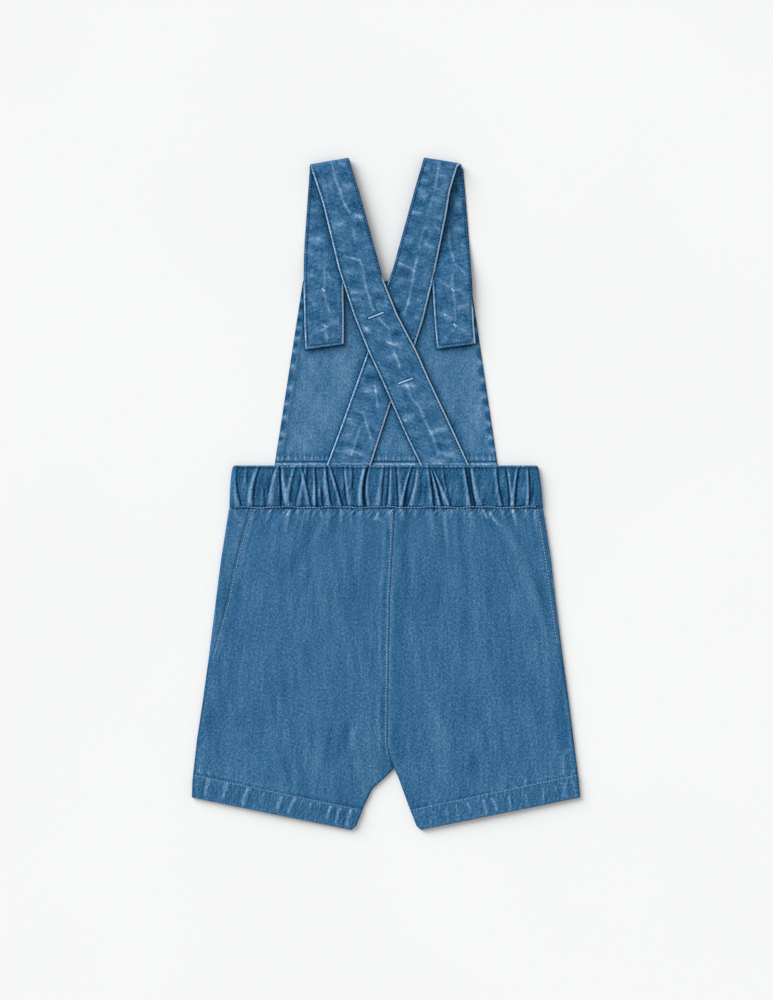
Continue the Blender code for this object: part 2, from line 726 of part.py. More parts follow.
def add_button(name, place, strap_tree):
    """A round sewn button on the floor, with its thread shank up to the strap end."""
    x, y = place
    under = strap_tree.ray_cast(Vector((x, y, BUTTON_THICK)), Vector((0.0, 0.0, 1.0)))[0]
    shank_top = under.z - GAP
    profile = (
        (BUTTON_RADIUS - BUTTON_ROUND, 0.0),
        (BUTTON_RADIUS, BUTTON_ROUND),
        (BUTTON_RADIUS, BUTTON_THICK - BUTTON_ROUND),
        (BUTTON_RADIUS - BUTTON_ROUND, BUTTON_THICK),
        (SHANK_RADIUS, BUTTON_THICK),
        (SHANK_RADIUS, shank_top),
    )
    turns = np.arange(BUTTON_SIDES) * 2 * math.pi / BUTTON_SIDES
    points, faces = [], []
    for radius, z in profile:
        points.extend((x + radius * math.cos(turn), y + radius * math.sin(turn), z) for turn in turns)
    for ring in range(len(profile) - 1):
        for number in range(BUTTON_SIDES):
            after = (number + 1) % BUTTON_SIDES
            low, high = ring * BUTTON_SIDES, (ring + 1) * BUTTON_SIDES
            faces.append([low + number, low + after, high + after, high + number])
    last = (len(profile) - 1) * BUTTON_SIDES
    faces.append(list(range(BUTTON_SIDES))[::-1])
    faces.append(list(range(last, last + BUTTON_SIDES)))
    add_mesh(name, points, faces, "button_resin")


def centre_outline():
    """Move every mesh alike, so that the outline is centred and the garment rests on 0."""
    bpy.context.view_layer.update()
    pieces = [thing for thing in bpy.data.objects if thing.type == "MESH"]
    shown = [thing for thing in pieces if not thing.hide_render]
    corners = np.array([vertex.co for thing in shown for vertex in thing.data.vertices])
    low, high = corners.min(axis=0), corners.max(axis=0)
    shift = Vector((-(low[0] + high[0]) / 2, -(low[1] + high[1]) / 2, -low[2]))
    for thing in pieces:
        for vertex in thing.data.vertices:
            vertex.co += shift


def main():
    clear_scene()
    for side in ("left", "right"):
        add_wall(f"front_leg_{side}", *leg_panel(side, over_back=False), "denim_body")
        add_wall(f"back_leg_{side}", *leg_panel(side, over_back=True), "denim_body")
    add_wall("waistband_front", *front_band(), "denim_band")
    add_wall("waistband_back", *back_band(), "denim_band")
    bib_piece, bib_tree = add_wall("bib", *bib(), "denim_bib")
    _, right_tree = add_wall("strap_right", *strap("right", [bib_tree]), "denim_strap")
    _, left_tree = add_wall("strap_left", *strap("left", [bib_tree, right_tree]), "denim_strap")
    cut_buttonholes(bib_piece)
    for name, place in BUTTONS.items():
        add_button(name, place, left_tree if "left" in name else right_tree)
    centre_outline()


main()
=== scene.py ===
"""Kids' short denim dungarees, laid flat with the back uppermost: the cloth, its creases and its sewing.

Lengths are millimetres until a mesh is made. +Y runs from the hems to the tops of the straps
and -X is the wearer's left, as in the solids. Every piece of cloth is a closed wall between
two grids, its face and its back: rows run down the garment or along a strap, and columns run
across. The face carries the relief, and the crests and valleys of that relief set the wear.
"""

import math

import bpy
import numpy as np
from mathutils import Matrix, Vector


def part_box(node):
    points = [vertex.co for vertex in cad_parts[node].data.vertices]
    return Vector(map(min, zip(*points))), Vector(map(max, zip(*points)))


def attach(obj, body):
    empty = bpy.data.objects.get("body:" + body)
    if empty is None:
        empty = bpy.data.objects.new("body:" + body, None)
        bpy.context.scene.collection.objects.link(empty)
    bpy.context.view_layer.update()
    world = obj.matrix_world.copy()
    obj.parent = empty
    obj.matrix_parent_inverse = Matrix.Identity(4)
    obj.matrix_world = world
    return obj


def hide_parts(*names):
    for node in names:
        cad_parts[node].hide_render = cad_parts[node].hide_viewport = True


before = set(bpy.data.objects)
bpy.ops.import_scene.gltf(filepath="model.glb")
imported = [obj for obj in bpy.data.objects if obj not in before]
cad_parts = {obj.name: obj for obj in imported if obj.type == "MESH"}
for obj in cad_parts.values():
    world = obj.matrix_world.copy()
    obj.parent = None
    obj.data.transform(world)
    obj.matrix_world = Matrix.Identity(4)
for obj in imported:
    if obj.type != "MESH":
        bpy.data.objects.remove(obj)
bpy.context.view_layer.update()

# A millimetre in metres, the air between two layers, and a length too small to divide by.
MM = 0.001
GAP = 0.3
TINY = 1e-9

# How many plane waves make an uneven relief.
WAVES = 14


def table(columns, *rows):
    """Rows of numbers, read by the name of their column."""
    return dict(zip(columns.split(), np.array(rows, float).T))


def read(rows, column, at):
    """A table's column read between its rows, against its first column."""
    return np.interp(at, rows[next(iter(rows))], rows[column])


def smooth(value):
    """0 to 1 with level ends: 3v squared less 2v cubed."""
    value = np.clip(value, 0.0, 1.0)
    return value * value * (3.0 - 2.0 * value)


def bell(value):
    """1 at 0, falling as a Gaussian."""
    return np.exp(-value * value)


def crests(turns, power):
    """Crests of 1 at each whole turn, with level ground between: a cosine's upper half to a power."""
    return np.clip(np.cos(2 * math.pi * turns), 0.0, 1.0) ** power


def unit(vectors):
    """Vectors brought to a length of 1, each along the last axis."""
    return vectors / np.maximum(np.linalg.norm(vectors, axis=-1, keepdims=True), TINY)


def ripple(x, y, size, seed, stretch=1.0):
    """Smooth uneven relief between about -1 and 1: a sum of plane waves of about one size.

    stretch lengthens it along y.
    """
    chance = np.random.default_rng(seed)
    headings = chance.uniform(0, math.pi, WAVES)
    phases = chance.uniform(0, 2 * math.pi, WAVES)
    lengths = chance.uniform(0.7, 1.5, WAVES)
    total = np.zeros(np.broadcast(x, y).shape)
    for heading, phase, length in zip(headings, phases, lengths):
        along = (x * math.cos(heading) + y * math.sin(heading) / stretch) / (size * length)
        total += np.sin(2 * math.pi * along + phase)
    return total / 4.0


def blur(field, reach):
    """A grid smoothed by three moving averages of 2 reach + 1 cells each way."""
    for _ in range(3):
        for axis in (0, 1):
            margins = [(0, 0), (0, 0)]
            margins[axis] = (reach + 1, reach)
            total = np.cumsum(np.pad(field, margins, mode="edge"), axis=axis)
            ahead = np.take(total, range(2 * reach + 1, total.shape[axis]), axis=axis)
            behind = np.take(total, range(0, total.shape[axis] - 2 * reach - 1), axis=axis)
            field = (ahead - behind) / (2 * reach + 1)
    return field


def crest_wear(height, reach, scale):
    """Wear from a relief: 0.5 on level cloth, more on crests and less in valleys."""
    return 0.5 + (height - blur(height, reach)) / scale


def ridges(x, y, rows):
    """The sum of a table's ridges: each a bell across a bowed line, fading in and out along it.

    bow moves the line's middle sideways, and rise and fall are the shares of its length over
    which it fades at its start and its end.
    """
    total = np.zeros(np.broadcast(x, y).shape)
    for x0, y0, x1, y1, bow, height, width, rise, fall in zip(*rows.values()):
        run_x, run_y = x1 - x0, y1 - y0
        length = math.hypot(run_x, run_y)
        along = ((x - x0) * run_x + (y - y0) * run_y) / length**2
        across = ((x - x0) * run_y - (y - y0) * run_x) / length
        across = across - bow * 4.0 * along * (1.0 - along)
        fade = smooth((along + 0.02) / max(rise, 0.02)) * smooth((1.02 - along) / max(fall, 0.02))
        total += height * fade * bell(across / width)
    return total


# ---------------------------------------------------------------- sizes of the garment

# Walls of cloth: one layer, and those that are doubled.
DENIM_WALL = 1.1
HEM_WALL = 1.7
BIB_WALL = 1.1
BIB_HEM_WALL = 1.95
STRAP_WALL = 1.8
FRONT_BAND_WALL = 2.0

# The back waistband is hollow up to a height, over the front one, and bends round at its sides.
BAND_HOLLOW = 3.5
BAND_BEND = 3.25
BAND_FOOT_Y = -14.7
BAND_TOP_Y = 28.5
FRONT_BAND_TOP_Y = 21.7

# The legs' waist, their length to the hem's seam, the turned hem, and its share of the steps.
WAIST_Y = -15.0
LEG_LENGTH = 290.0
HEM_DEPTH = 24.0
HEM_STEP = 0.11

# The bib's foot and top, its sides' places at both, its turned hems, and their stitched lines.
BIB_FOOT_Y = 22.0
BIB_TOP_Y = 213.0
BIB_SIDES = ((-112.5, -83.0), (112.5, 84.5))
BIB_SIDE_HEM, BIB_TOP_HEM = 8.5, 9.0
BIB_SIDE_SEAM, BIB_TOP_SEAM = 7.3, 7.6

# A strap's own width, the stitched line in from its edge, the shares of its columns near an edge,
# how far its edges are rolled out, how far it looks for cloth below, and how steeply its end falls.
STRAP_WIDTH = 46.0
STRAP_SEAM = 2.8
STRAP_NEAR = (0.0, 0.25, 0.6, 1.1, 1.8, 2.7)
EDGE_ROLL = 0.6
STRAP_REACH = (7, 12)
STRAP_RAMP = 0.13

# The buttons and their holes: how far a hole's rims lie from its middle, and each button's place.
BUTTON_THICK = 2.4
BUTTONHOLE_LENGTH = 17.0
BUTTONHOLE_RIM = 1.5
BUTTONS = ((-62.1, 203.5), (-60.2, 167.3), (66.8, 203.5), (69.0, 168.3))

# From this script's places to the solids' own, found from where the bib's solid ends.
SHIFT = np.array([0.0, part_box("bib")[1][1] / MM - BIB_TOP_Y, 0.0])

# The legs' outline: the side fold, and the inner edge from the hem's corner past the crotch to
# the waist.
SIDE = table(
    "y left right",
    (-303, -194, 194),
    (-286, -193.5, 192.5),
    (-246, -189, 187.5),
    (-206, -183, 182.5),
    (-166, -177.5, 177),
    (-106, -170, 169.5),
    (-66, -165, 165),
    (-15, -157, 157),
)
INNER = table(
    "y left right",
    (-335.6, -34.3, 34.7),
    (-331.6, -29.5, 30.3),
    (-311.8, -21.8, 22.6),
    (-295, -13.7, 16.4),
    (-287, -5, 13.6),
    (-281.7, 0.9, 11.5),
    (-274.4, 8, 8),
    (-266, 5, 5),
    (-250, 1.6, 1.6),
    (-196, 2.2, 2.2),
    (-106, 3.8, 3.8),
    (-15, 8.5, 8.5),
)

# The heights between which the inner edge goes over from a level seam to a folded inseam.
CROTCH_CURL = (-250.0, -279.0)

# How far in from the side fold the side seam lies.
SIDE_SEAM = table(
    "y left right",
    (-171, 0, 0),
    (-154, 4.2, 1),
    (-131, 7.6, 2),
    (-103, 11.4, 2.5),
    (-71, 14.2, 2.8),
    (-15, 21, 3.5),
)

# Each step down a leg: the row's height at the side and at the inner edge, the wall, the bend of
# its folds, and how far its middle arches up.
LEG = table(
    "step side inner wall bend arch",
    (0.0, WAIST_Y, WAIST_Y, DENIM_WALL, 1.45, 0.9),
    (0.1, -41, -45, DENIM_WALL, 1.3, 1.4),
    (0.3, -94, -105, DENIM_WALL, 1.1, 1.9),
    (0.864, -243, -274.4, DENIM_WALL, 1.0, 1.5),
    (1.0, -279.5, -315, DENIM_WALL, 1.0, 1.4),
    (1.01, -280.8, -316.3, HEM_WALL, 1.3, 1.1),
    (1.1, -301.6, -334.2, HEM_WALL, 1.3, 1.0),
    (1.11, -303, -335.6, DENIM_WALL, 1.3, 1.0),
)

# Long soft folds of the shorts' back, ridges above 0 and troughs below it.
FOLDS = table(
    "x0 y0 x1 y1 bow height width rise fall",
    (-101, -18, -119, -43, 1, 0.8, 5, 0.02, 0.6),
    (-121, -20, -131, -113, 3, -0.5, 6, 0.3, 0.6),
    (-71, -20, -110, -100, -4, -0.6, 6, 0.2, 0.6),
    (-59, -18, -90, -72, -3, 0.8, 5, 0.02, 0.7),
    (-71, -70, -85, -105, 2, -0.4, 5, 0.4, 0.6),
    (-51, -20, -52, -84, 2, -0.5, 5, 0.1, 0.6),
    (-26, -18, -27, -110, 1, 0.7, 5, 0.02, 0.7),
    (-91, -115, -116, -178, -3, -0.5, 7, 0.5, 0.5),
    (-66, -140, -78, -200, 2, -0.4, 8, 0.5, 0.5),
    (-144, -160, -186, -250, -5, -0.6, 9, 0.5, 0.4),
    (-174, -175, -177, -216, 1, 0.5, 7, 0.5, 0.5),
    (-158, -241, -132, -237, 2, 0.4, 5, 0.5, 0.5),
    (-26, -222, -36, -270, 2, 0.5, 4, 0.4, 0.4),
    (-34, -218, -48, -270, 2, -0.5, 4, 0.4, 0.4),
    (-56, -238, -61, -282, 1, -0.4, 4, 0.4, 0.4),
    (-71, -225, -69, -290, -2, 0.4, 5, 0.5, 0.3),
    (-108, -190, -126, -268, 4, -0.35, 8, 0.5, 0.4),
    (19, -20, 11, -185, -3, -0.7, 7, 0.1, 0.4),
    (44, -18, 52, -52, 1, 0.7, 4.5, 0.02, 0.7),
    (56, -75, 49, -135, 1, -0.4, 6, 0.4, 0.5),
    (74, -18, 76, -190, -4, -0.7, 6, 0.05, 0.4),
    (84, -18, 92, -52, 1, 0.7, 4.5, 0.02, 0.7),
    (104, -18, 130, -64, -3, 0.8, 5, 0.02, 0.4),
    (128, -60, 178, -200, -5, 0.4, 6, 0.3, 0.5),
    (104, -30, 143, -140, -4, -0.5, 6, 0.3, 0.5),
    (131, -30, 166, -150, -4, -0.4, 5, 0.3, 0.5),
    (104, -55, 107, -160, 2, -0.35, 6, 0.4, 0.5),
    (29, -180, 64, -276, -6, 0.6, 6, 0.5, 0.3),
    (24, -205, 46, -305, -4, -0.6, 7, 0.5, 0.3),
    (99, -245, 80, -288, 2, -0.5, 7, 0.5, 0.4),
    (157, -100, 181, -300, 6, 0.5, 5, 0.4, 0.3),
    (118, -150, 128, -235, 3, -0.3, 8, 0.5, 0.5),
)

# The hems' ridges, from the stitched line down to the edge, each leaning outwards. All are
# narrower than their widths here by one factor, to a tenth of a millimetre.
ROPE_NARROWING = 0.7
HEM_ROPES = table(
    "x0 y0 x1 y1 bow height width rise fall",
    (-189, -281, -190, -300, 0, 0.4, 2.0, 0.1, 0.3),
    (-176.3, -283, -180.3, -303.5, 0.6, 0.6, 2.6, 0.05, 0.2),
    (-158, -287, -162.5, -306.5, 0.6, 0.6, 3.0, 0.05, 0.2),
    (-136.7, -293, -143.6, -312, 0.8, 0.65, 2.8, 0.05, 0.2),
    (-121.8, -297, -126.4, -312, 0.5, 0.4, 2.0, 0.05, 0.5),
    (-103.4, -301, -109.1, -318, 0.7, 0.55, 2.6, 0.05, 0.3),
    (-90.2, -303, -98.2, -321, 0.8, 0.6, 2.6, 0.05, 0.2),
    (-74.1, -307, -77.6, -317, 0.4, 0.35, 2.0, 0.05, 0.6),
    (-66.1, -308, -67.5, -314, 0.2, 0.3, 1.8, 0.05, 0.6),
    (-54.6, -311, -59.2, -327, 0.6, 0.6, 2.6, 0.05, 0.3),
    (-46, -313, -50.6, -332, 0.6, 0.55, 2.2, 0.05, 0.2),
    (-34.5, -315, -39.1, -333, 0.5, 0.6, 2.4, 0.05, 0.2),
    (28.3, -318, 30.3, -328, -0.3, 0.4, 1.8, 0.05, 0.3),
    (37.3, -317, 35.4, -323, 0.2, 0.35, 1.5, 0.05, 0.5),
    (47, -315.5, 49.5, -331, -0.4, 0.3, 2.4, 0.2, 0.3),
    (60.2, -313, 60.9, -323, -0.4, 0.42, 1.8, 0.05, 0.4),
    (70, -311, 72.5, -327, -0.5, 0.25, 3.0, 0.2, 0.2),
    (80.6, -309, 85.7, -317, -0.4, 0.42, 1.7, 0.05, 0.5),
    (97.2, -305, 100.4, -322, -0.5, 0.62, 2.0, 0.05, 0.2),
    (106.1, -304, 111.9, -319, -0.5, 0.62, 1.9, 0.05, 0.3),
    (122.7, -301, 124, -318, -0.4, 0.58, 1.4, 0.05, 0.2),
    (138, -297, 141.5, -314, -0.7, 0.35, 2.8, 0.1, 0.3),
    (157.2, -293, 156.5, -309, -0.3, 0.48, 1.8, 0.05, 0.3),
    (167.4, -291, 171.2, -300, -0.4, 0.42, 1.6, 0.05, 0.5),
    (177.6, -288, 178.8, -306, -0.5, 0.42, 3.4, 0.05, 0.2),
    (186.5, -286, 189.1, -302, -0.3, 0.45, 1.6, 0.05, 0.2),
)
HEM_ROPES["width"] = np.round(ROPE_NARROWING * HEM_ROPES["width"], 1)

# Where the waist, the centre back and the hem seams pull the cloth into short creases.
WAIST_CREASES = table(
    "x0 y0 x1 y1 bow height width rise fall",
    (-152, -16, -140, -28, 3, 0.6, 1.6, 0.02, 0.6),
    (-140, -28, -150, -38, 2, 0.5, 1.5, 0.3, 0.5),
    (-131, -16, -137, -40, 1, 0.4, 1.6, 0.02, 0.8),
    (-116, -16, -124, -34, -1, 0.5, 1.8, 0.02, 0.8),
    (-96, -16, -101, -44, 1, 0.6, 2.2, 0.02, 0.8),
    (-88, -16, -84, -29, 1, 0.5, 1.5, 0.02, 0.8),
    (-77, -16, -80, -33, 0, 0.5, 1.5, 0.02, 0.8),
    (-66, -16, -60, -26, 1, 0.5, 1.6, 0.02, 0.7),
    (-44, -16, -47, -35, -1, 0.6, 1.8, 0.02, 0.8),
    (-35, -16, -33, -41, 1, 0.5, 2.0, 0.02, 0.8),
    (-20, -16, -17, -29, 0, 0.4, 1.4, 0.02, 0.8),
    (4, -16, 5, -44, 1, 0.6, 2.0, 0.02, 0.8),
    (17, -16, 20, -30, 1, 0.5, 1.5, 0.02, 0.8),
    (30, -16, 27, -26, 0, 0.4, 1.4, 0.02, 0.8),
    (59, -18, 66, -66, 2, 0.6, 2.2, 0.02, 0.8),
    (66, -16, 63, -27, 0, 0.5, 1.4, 0.02, 0.8),
    (78, -16, 82, -32, 1, 0.4, 1.5, 0.02, 0.8),
    (97, -16, 106, -29, 1, 0.7, 1.5, 0.02, 0.6),
    (103, -17, 119, -35, 2, 0.7, 1.6, 0.02, 0.6),
    (116, -16, 118, -26, 0, 0.4, 1.4, 0.02, 0.8),
    (127, -16, 133, -34, 1, 0.5, 1.7, 0.02, 0.8),
    (140, -16, 138, -26, 0, 0.4, 1.4, 0.02, 0.8),
    (149, -16, 152, -40, 1, 0.4, 1.8, 0.02, 0.8),
    (182.7, -254.8, 177.6, -261.2, 0, 0.4, 1.2, 0.1, 0.1),
    (177.6, -261.2, 177.6, -282, 0.4, 0.35, 1.3, 0.1, 0.3),
    (115, -291, 118.3, -299, 0.3, 0.35, 1.3, 0.4, 0.1),
    (125.3, -288, 133, -295.5, 0.4, 0.38, 1.4, 0.4, 0.1),
    (139.3, -282, 140, -294, 0.4, 0.38, 1.4, 0.4, 0.1),
    (98.5, -298, 101, -304.5, 0.2, 0.3, 1.2, 0.4, 0.1),
    (44.9, -306, 43.6, -317, 0.3, 0.35, 1.4, 0.4, 0.1),
    (-188.2, -273.3, -184.4, -280, 0.2, 0.35, 1.3, 0.4, 0.1),
    (-179.3, -274.6, -174.2, -283, 0.3, 0.35, 1.3, 0.4, 0.1),
    (-8, -17, -14, -27, -2, 0.5, 1.5, 0.1, 0.3),
    (-14, -26, -1, -30, -3, 0.35, 1.6, 0.3, 0.3),
)

# The gathers of the elastic waistband from its top edge to its seam: where each pale crest lies
# at the top, halfway and at the foot, over which share of the way down, its height and width,
# and the dark groove beside it, on the right at 1 and the left at -1, and so deep.
GATHERS = table(
    "top middle foot start end height width side depth",
    (-106.4, -106.2, -106.0, 0, 1, 0.0, 0.3, 1, 1.3),
    (-125.0, -124.0, -123.5, 0.55, 1, 0.5, 1.2, 1, 0.2),
    (-119.5, -119.0, -119.0, 0.6, 1, 0.5, 1.0, -1, 0.2),
    (-80.0, -80.5, -81.0, 0, 0.4, 0.7, 0.8, 1, 0.4),
    (-150.5, -151.5, -147.0, 0.0, 1.0, 1.1, 2.2, 1, 0.7),
    (-139.4, -141, -142.6, 0.0, 0.35, 0.7, 1.3, 1, 0.4),
    (-127.3, -134.2, -135.7, 0.0, 1.0, 1.4, 2.2, 1, 0.9),
    (-108.4, -113.6, -115.7, 0.0, 1.0, 1.5, 2.4, -1, 0.7),
    (-103.6, -101.8, -96.5, 0.0, 1.0, 1.5, 2.4, -1, 0.4),
    (-91.5, -96.8, -100, 0.0, 0.8, 1.2, 1.9, 1, 0.7),
    (-85.7, -81, -76.8, 0.0, 1.0, 1.3, 1.7, 1, 0.8),
    (-80, -84.2, -88.4, 0.0, 1.0, 0.8, 1.9, -1, 0.4),
    (-72.1, -71.5, -71.5, 0.0, 1.0, 1.2, 1.3, 1, 1.0),
    (-66.8, -66.3, -65.2, 0.6, 1.0, 0.9, 1.1, 1, 0.7),
    (-61, -60, -56.8, 0.0, 1.0, 1.4, 2.0, 1, 1.0),
    (-56.8, -50.5, -45.2, 0.0, 1.0, 1.4, 1.4, 1, 1.1),
    (-41, -39, -35.7, 0.0, 1.0, 1.0, 1.5, -1, 0.8),
    (-34.7, -35.7, -38.8, 0.0, 0.5, 0.9, 1.4, 1, 0.6),
    (-20, -25.2, -25.2, 0.0, 1.0, 1.5, 2.1, 1, 1.7),
    (-15.7, -19, -16.8, 0.0, 1.0, 1.0, 1.5, -1, 1.2),
    (-3.1, -6.3, -8.4, 0.0, 1.0, 1.1, 2.3, 1, 0.8),
    (4.8, 4.3, 3.2, 0.0, 1.0, 1.3, 1.5, -1, 0.8),
    (11.6, 13.7, 14.8, 0.0, 1.0, 0.9, 1.6, -1, 0.8),
    (25.3, 19, 14.8, 0.0, 1.0, 1.4, 1.4, 1, 1.4),
    (31.6, 29.5, 23.2, 0.0, 1.0, 1.3, 2.0, -1, 0.7),
    (41, 43.8, 45.3, 0.0, 1.0, 0.9, 1.7, 1, 1.5),
    (42.7, 49.5, 53.7, 0.0, 1.0, 1.2, 1.3, 1, 1.7),
    (44.3, 54.5, 62.2, 0.0, 1.0, 1.3, 1.6, 1, 0.5),
    (55.8, 58.6, 64, 0.0, 0.9, 0.7, 1.2, 1, 0.4),
    (77.4, 80, 83.2, 0.0, 1.0, 1.3, 2.0, 1, 1.2),
    (85.3, 88.5, 93.7, 0.0, 1.0, 1.4, 2.2, -1, 1.5),
    (109.5, 110.6, 114.8, 0.0, 1.0, 1.2, 1.7, 1, 0.9),
    (120.6, 124.3, 125.8, 0.0, 1.0, 1.2, 1.4, -1, 0.9),
    (131.6, 128, 126.9, 0.0, 1.0, 1.2, 1.4, 1, 0.9),
    (140.6, 141.6, 140.6, 0.0, 1.0, 1.1, 1.3, 1, 0.8),
    (149, 150, 147, 0.5, 1.0, 0.5, 2.0, -1, 0.3),
)

# The back waistband's ends, and its height and the strength of its gathers, by height up the bib.
BAND_ENDS = table(
    "y left right",
    (BAND_FOOT_Y, -156.5, 157),
    (4, -156, 155.5),
    (14, -155.2, 154.2),
    (23, -154.2, 152.8),
    (27, -153, 152),
    (BAND_TOP_Y, -151.3, 150.6),
)
BAND_PROFILE = table(
    "y height gather",
    (BAND_FOOT_Y, 4.6, 0.15),
    (-13.2, 5.0, 0.35),
    (-11.5, 5.6, 0.8),
    (-6.0, 6.0, 1.0),
    (6.0, 6.3, 1.0),
    (18.0, 6.2, 1.0),
    (23.5, 5.5, 0.7),
    (26.2, 6.1, 0.45),
    (27.9, 5.5, 0.4),
    (BAND_TOP_Y, 4.4, 0.3),
)

# Each strap's two edges and the height of its middle: its run from the waistband to the fold,
# and its end from the fold down on to the bib.
STRAP_RUN = {
    "left": table(
        "left_x left_y right_x right_y lift",
        (37.8, 22.2, 85.2, 22.2, 2.3),
        (34, 31, 81.3, 31, 2.35),
        (20.6, 58.6, 68.8, 58.6, 3.2),
        (5.2, 93.3, 52.4, 93.3, 4.9),
        (-3.8, 114, 42.6, 114, 5.3),
        (-17.0, 142.3, 30.2, 142.3, 6.0),
        (-31.4, 178, 11.3, 178, 7.1),
        (-42.4, 211.7, -2.4, 211.7, 8.5),
        (-46.6, 224, -6, 224, 9.0),
        (-62.5, 290, -24.9, 293, 8.7),
        (-75, 329.5, -37.3, 336, 8.1),
    ),
    "right": table(
        "left_x left_y right_x right_y lift",
        (-61.2, 22.2, -17.7, 22.2, 2.3),
        (-57.9, 31, -15, 31, 2.35),
        (-45.7, 63.7, -4.7, 63.7, 2.4),
        (-35.9, 91.2, 4.3, 91.2, 2.45),
        (-18.1, 141.2, 25.7, 141.2, 2.75),
        (-9.3, 171.9, 35.9, 171.9, 3.4),
        (0.7, 206.6, 44.4, 206.6, 5.0),
        (7.3, 224, 48.5, 224, 6.6),
        (22.4, 279, 59.6, 279, 8.4),
        (29.8, 306, 63.2, 302, 8.9),
        (38, 336, 71, 330.6, 8.9),
    ),
}
STRAP_END = {
    "left": table(
        "left_x left_y right_x right_y lift",
        (-76.4, 329, -38.8, 335.5, 0.9),
        (-77.8, 294, -40.6, 294, 0.9),
        (-80.6, 253, -41.9, 253, 0.9),
        (-81.4, 236, -42.4, 236, 0.9),
        (-81.7, 210, -43.2, 208, 0.9),
        (-81, 171, -42.7, 171, 0.9),
        (-79.8, 144.4, -42.9, 149.6, 0.9),
    ),
    "right": table(
        "left_x left_y right_x right_y lift",
        (39.5, 336, 77.5, 329.7, 0.9),
        (44, 260, 81.8, 260, 0.9),
        (45.9, 230, 84.2, 229, 0.9),
        (46.9, 213, 85.5, 209.4, 0.9),
        (48.8, 176, 87, 171, 0.9),
        (51.7, 145, 89, 150.1, 0.9),
    ),
}

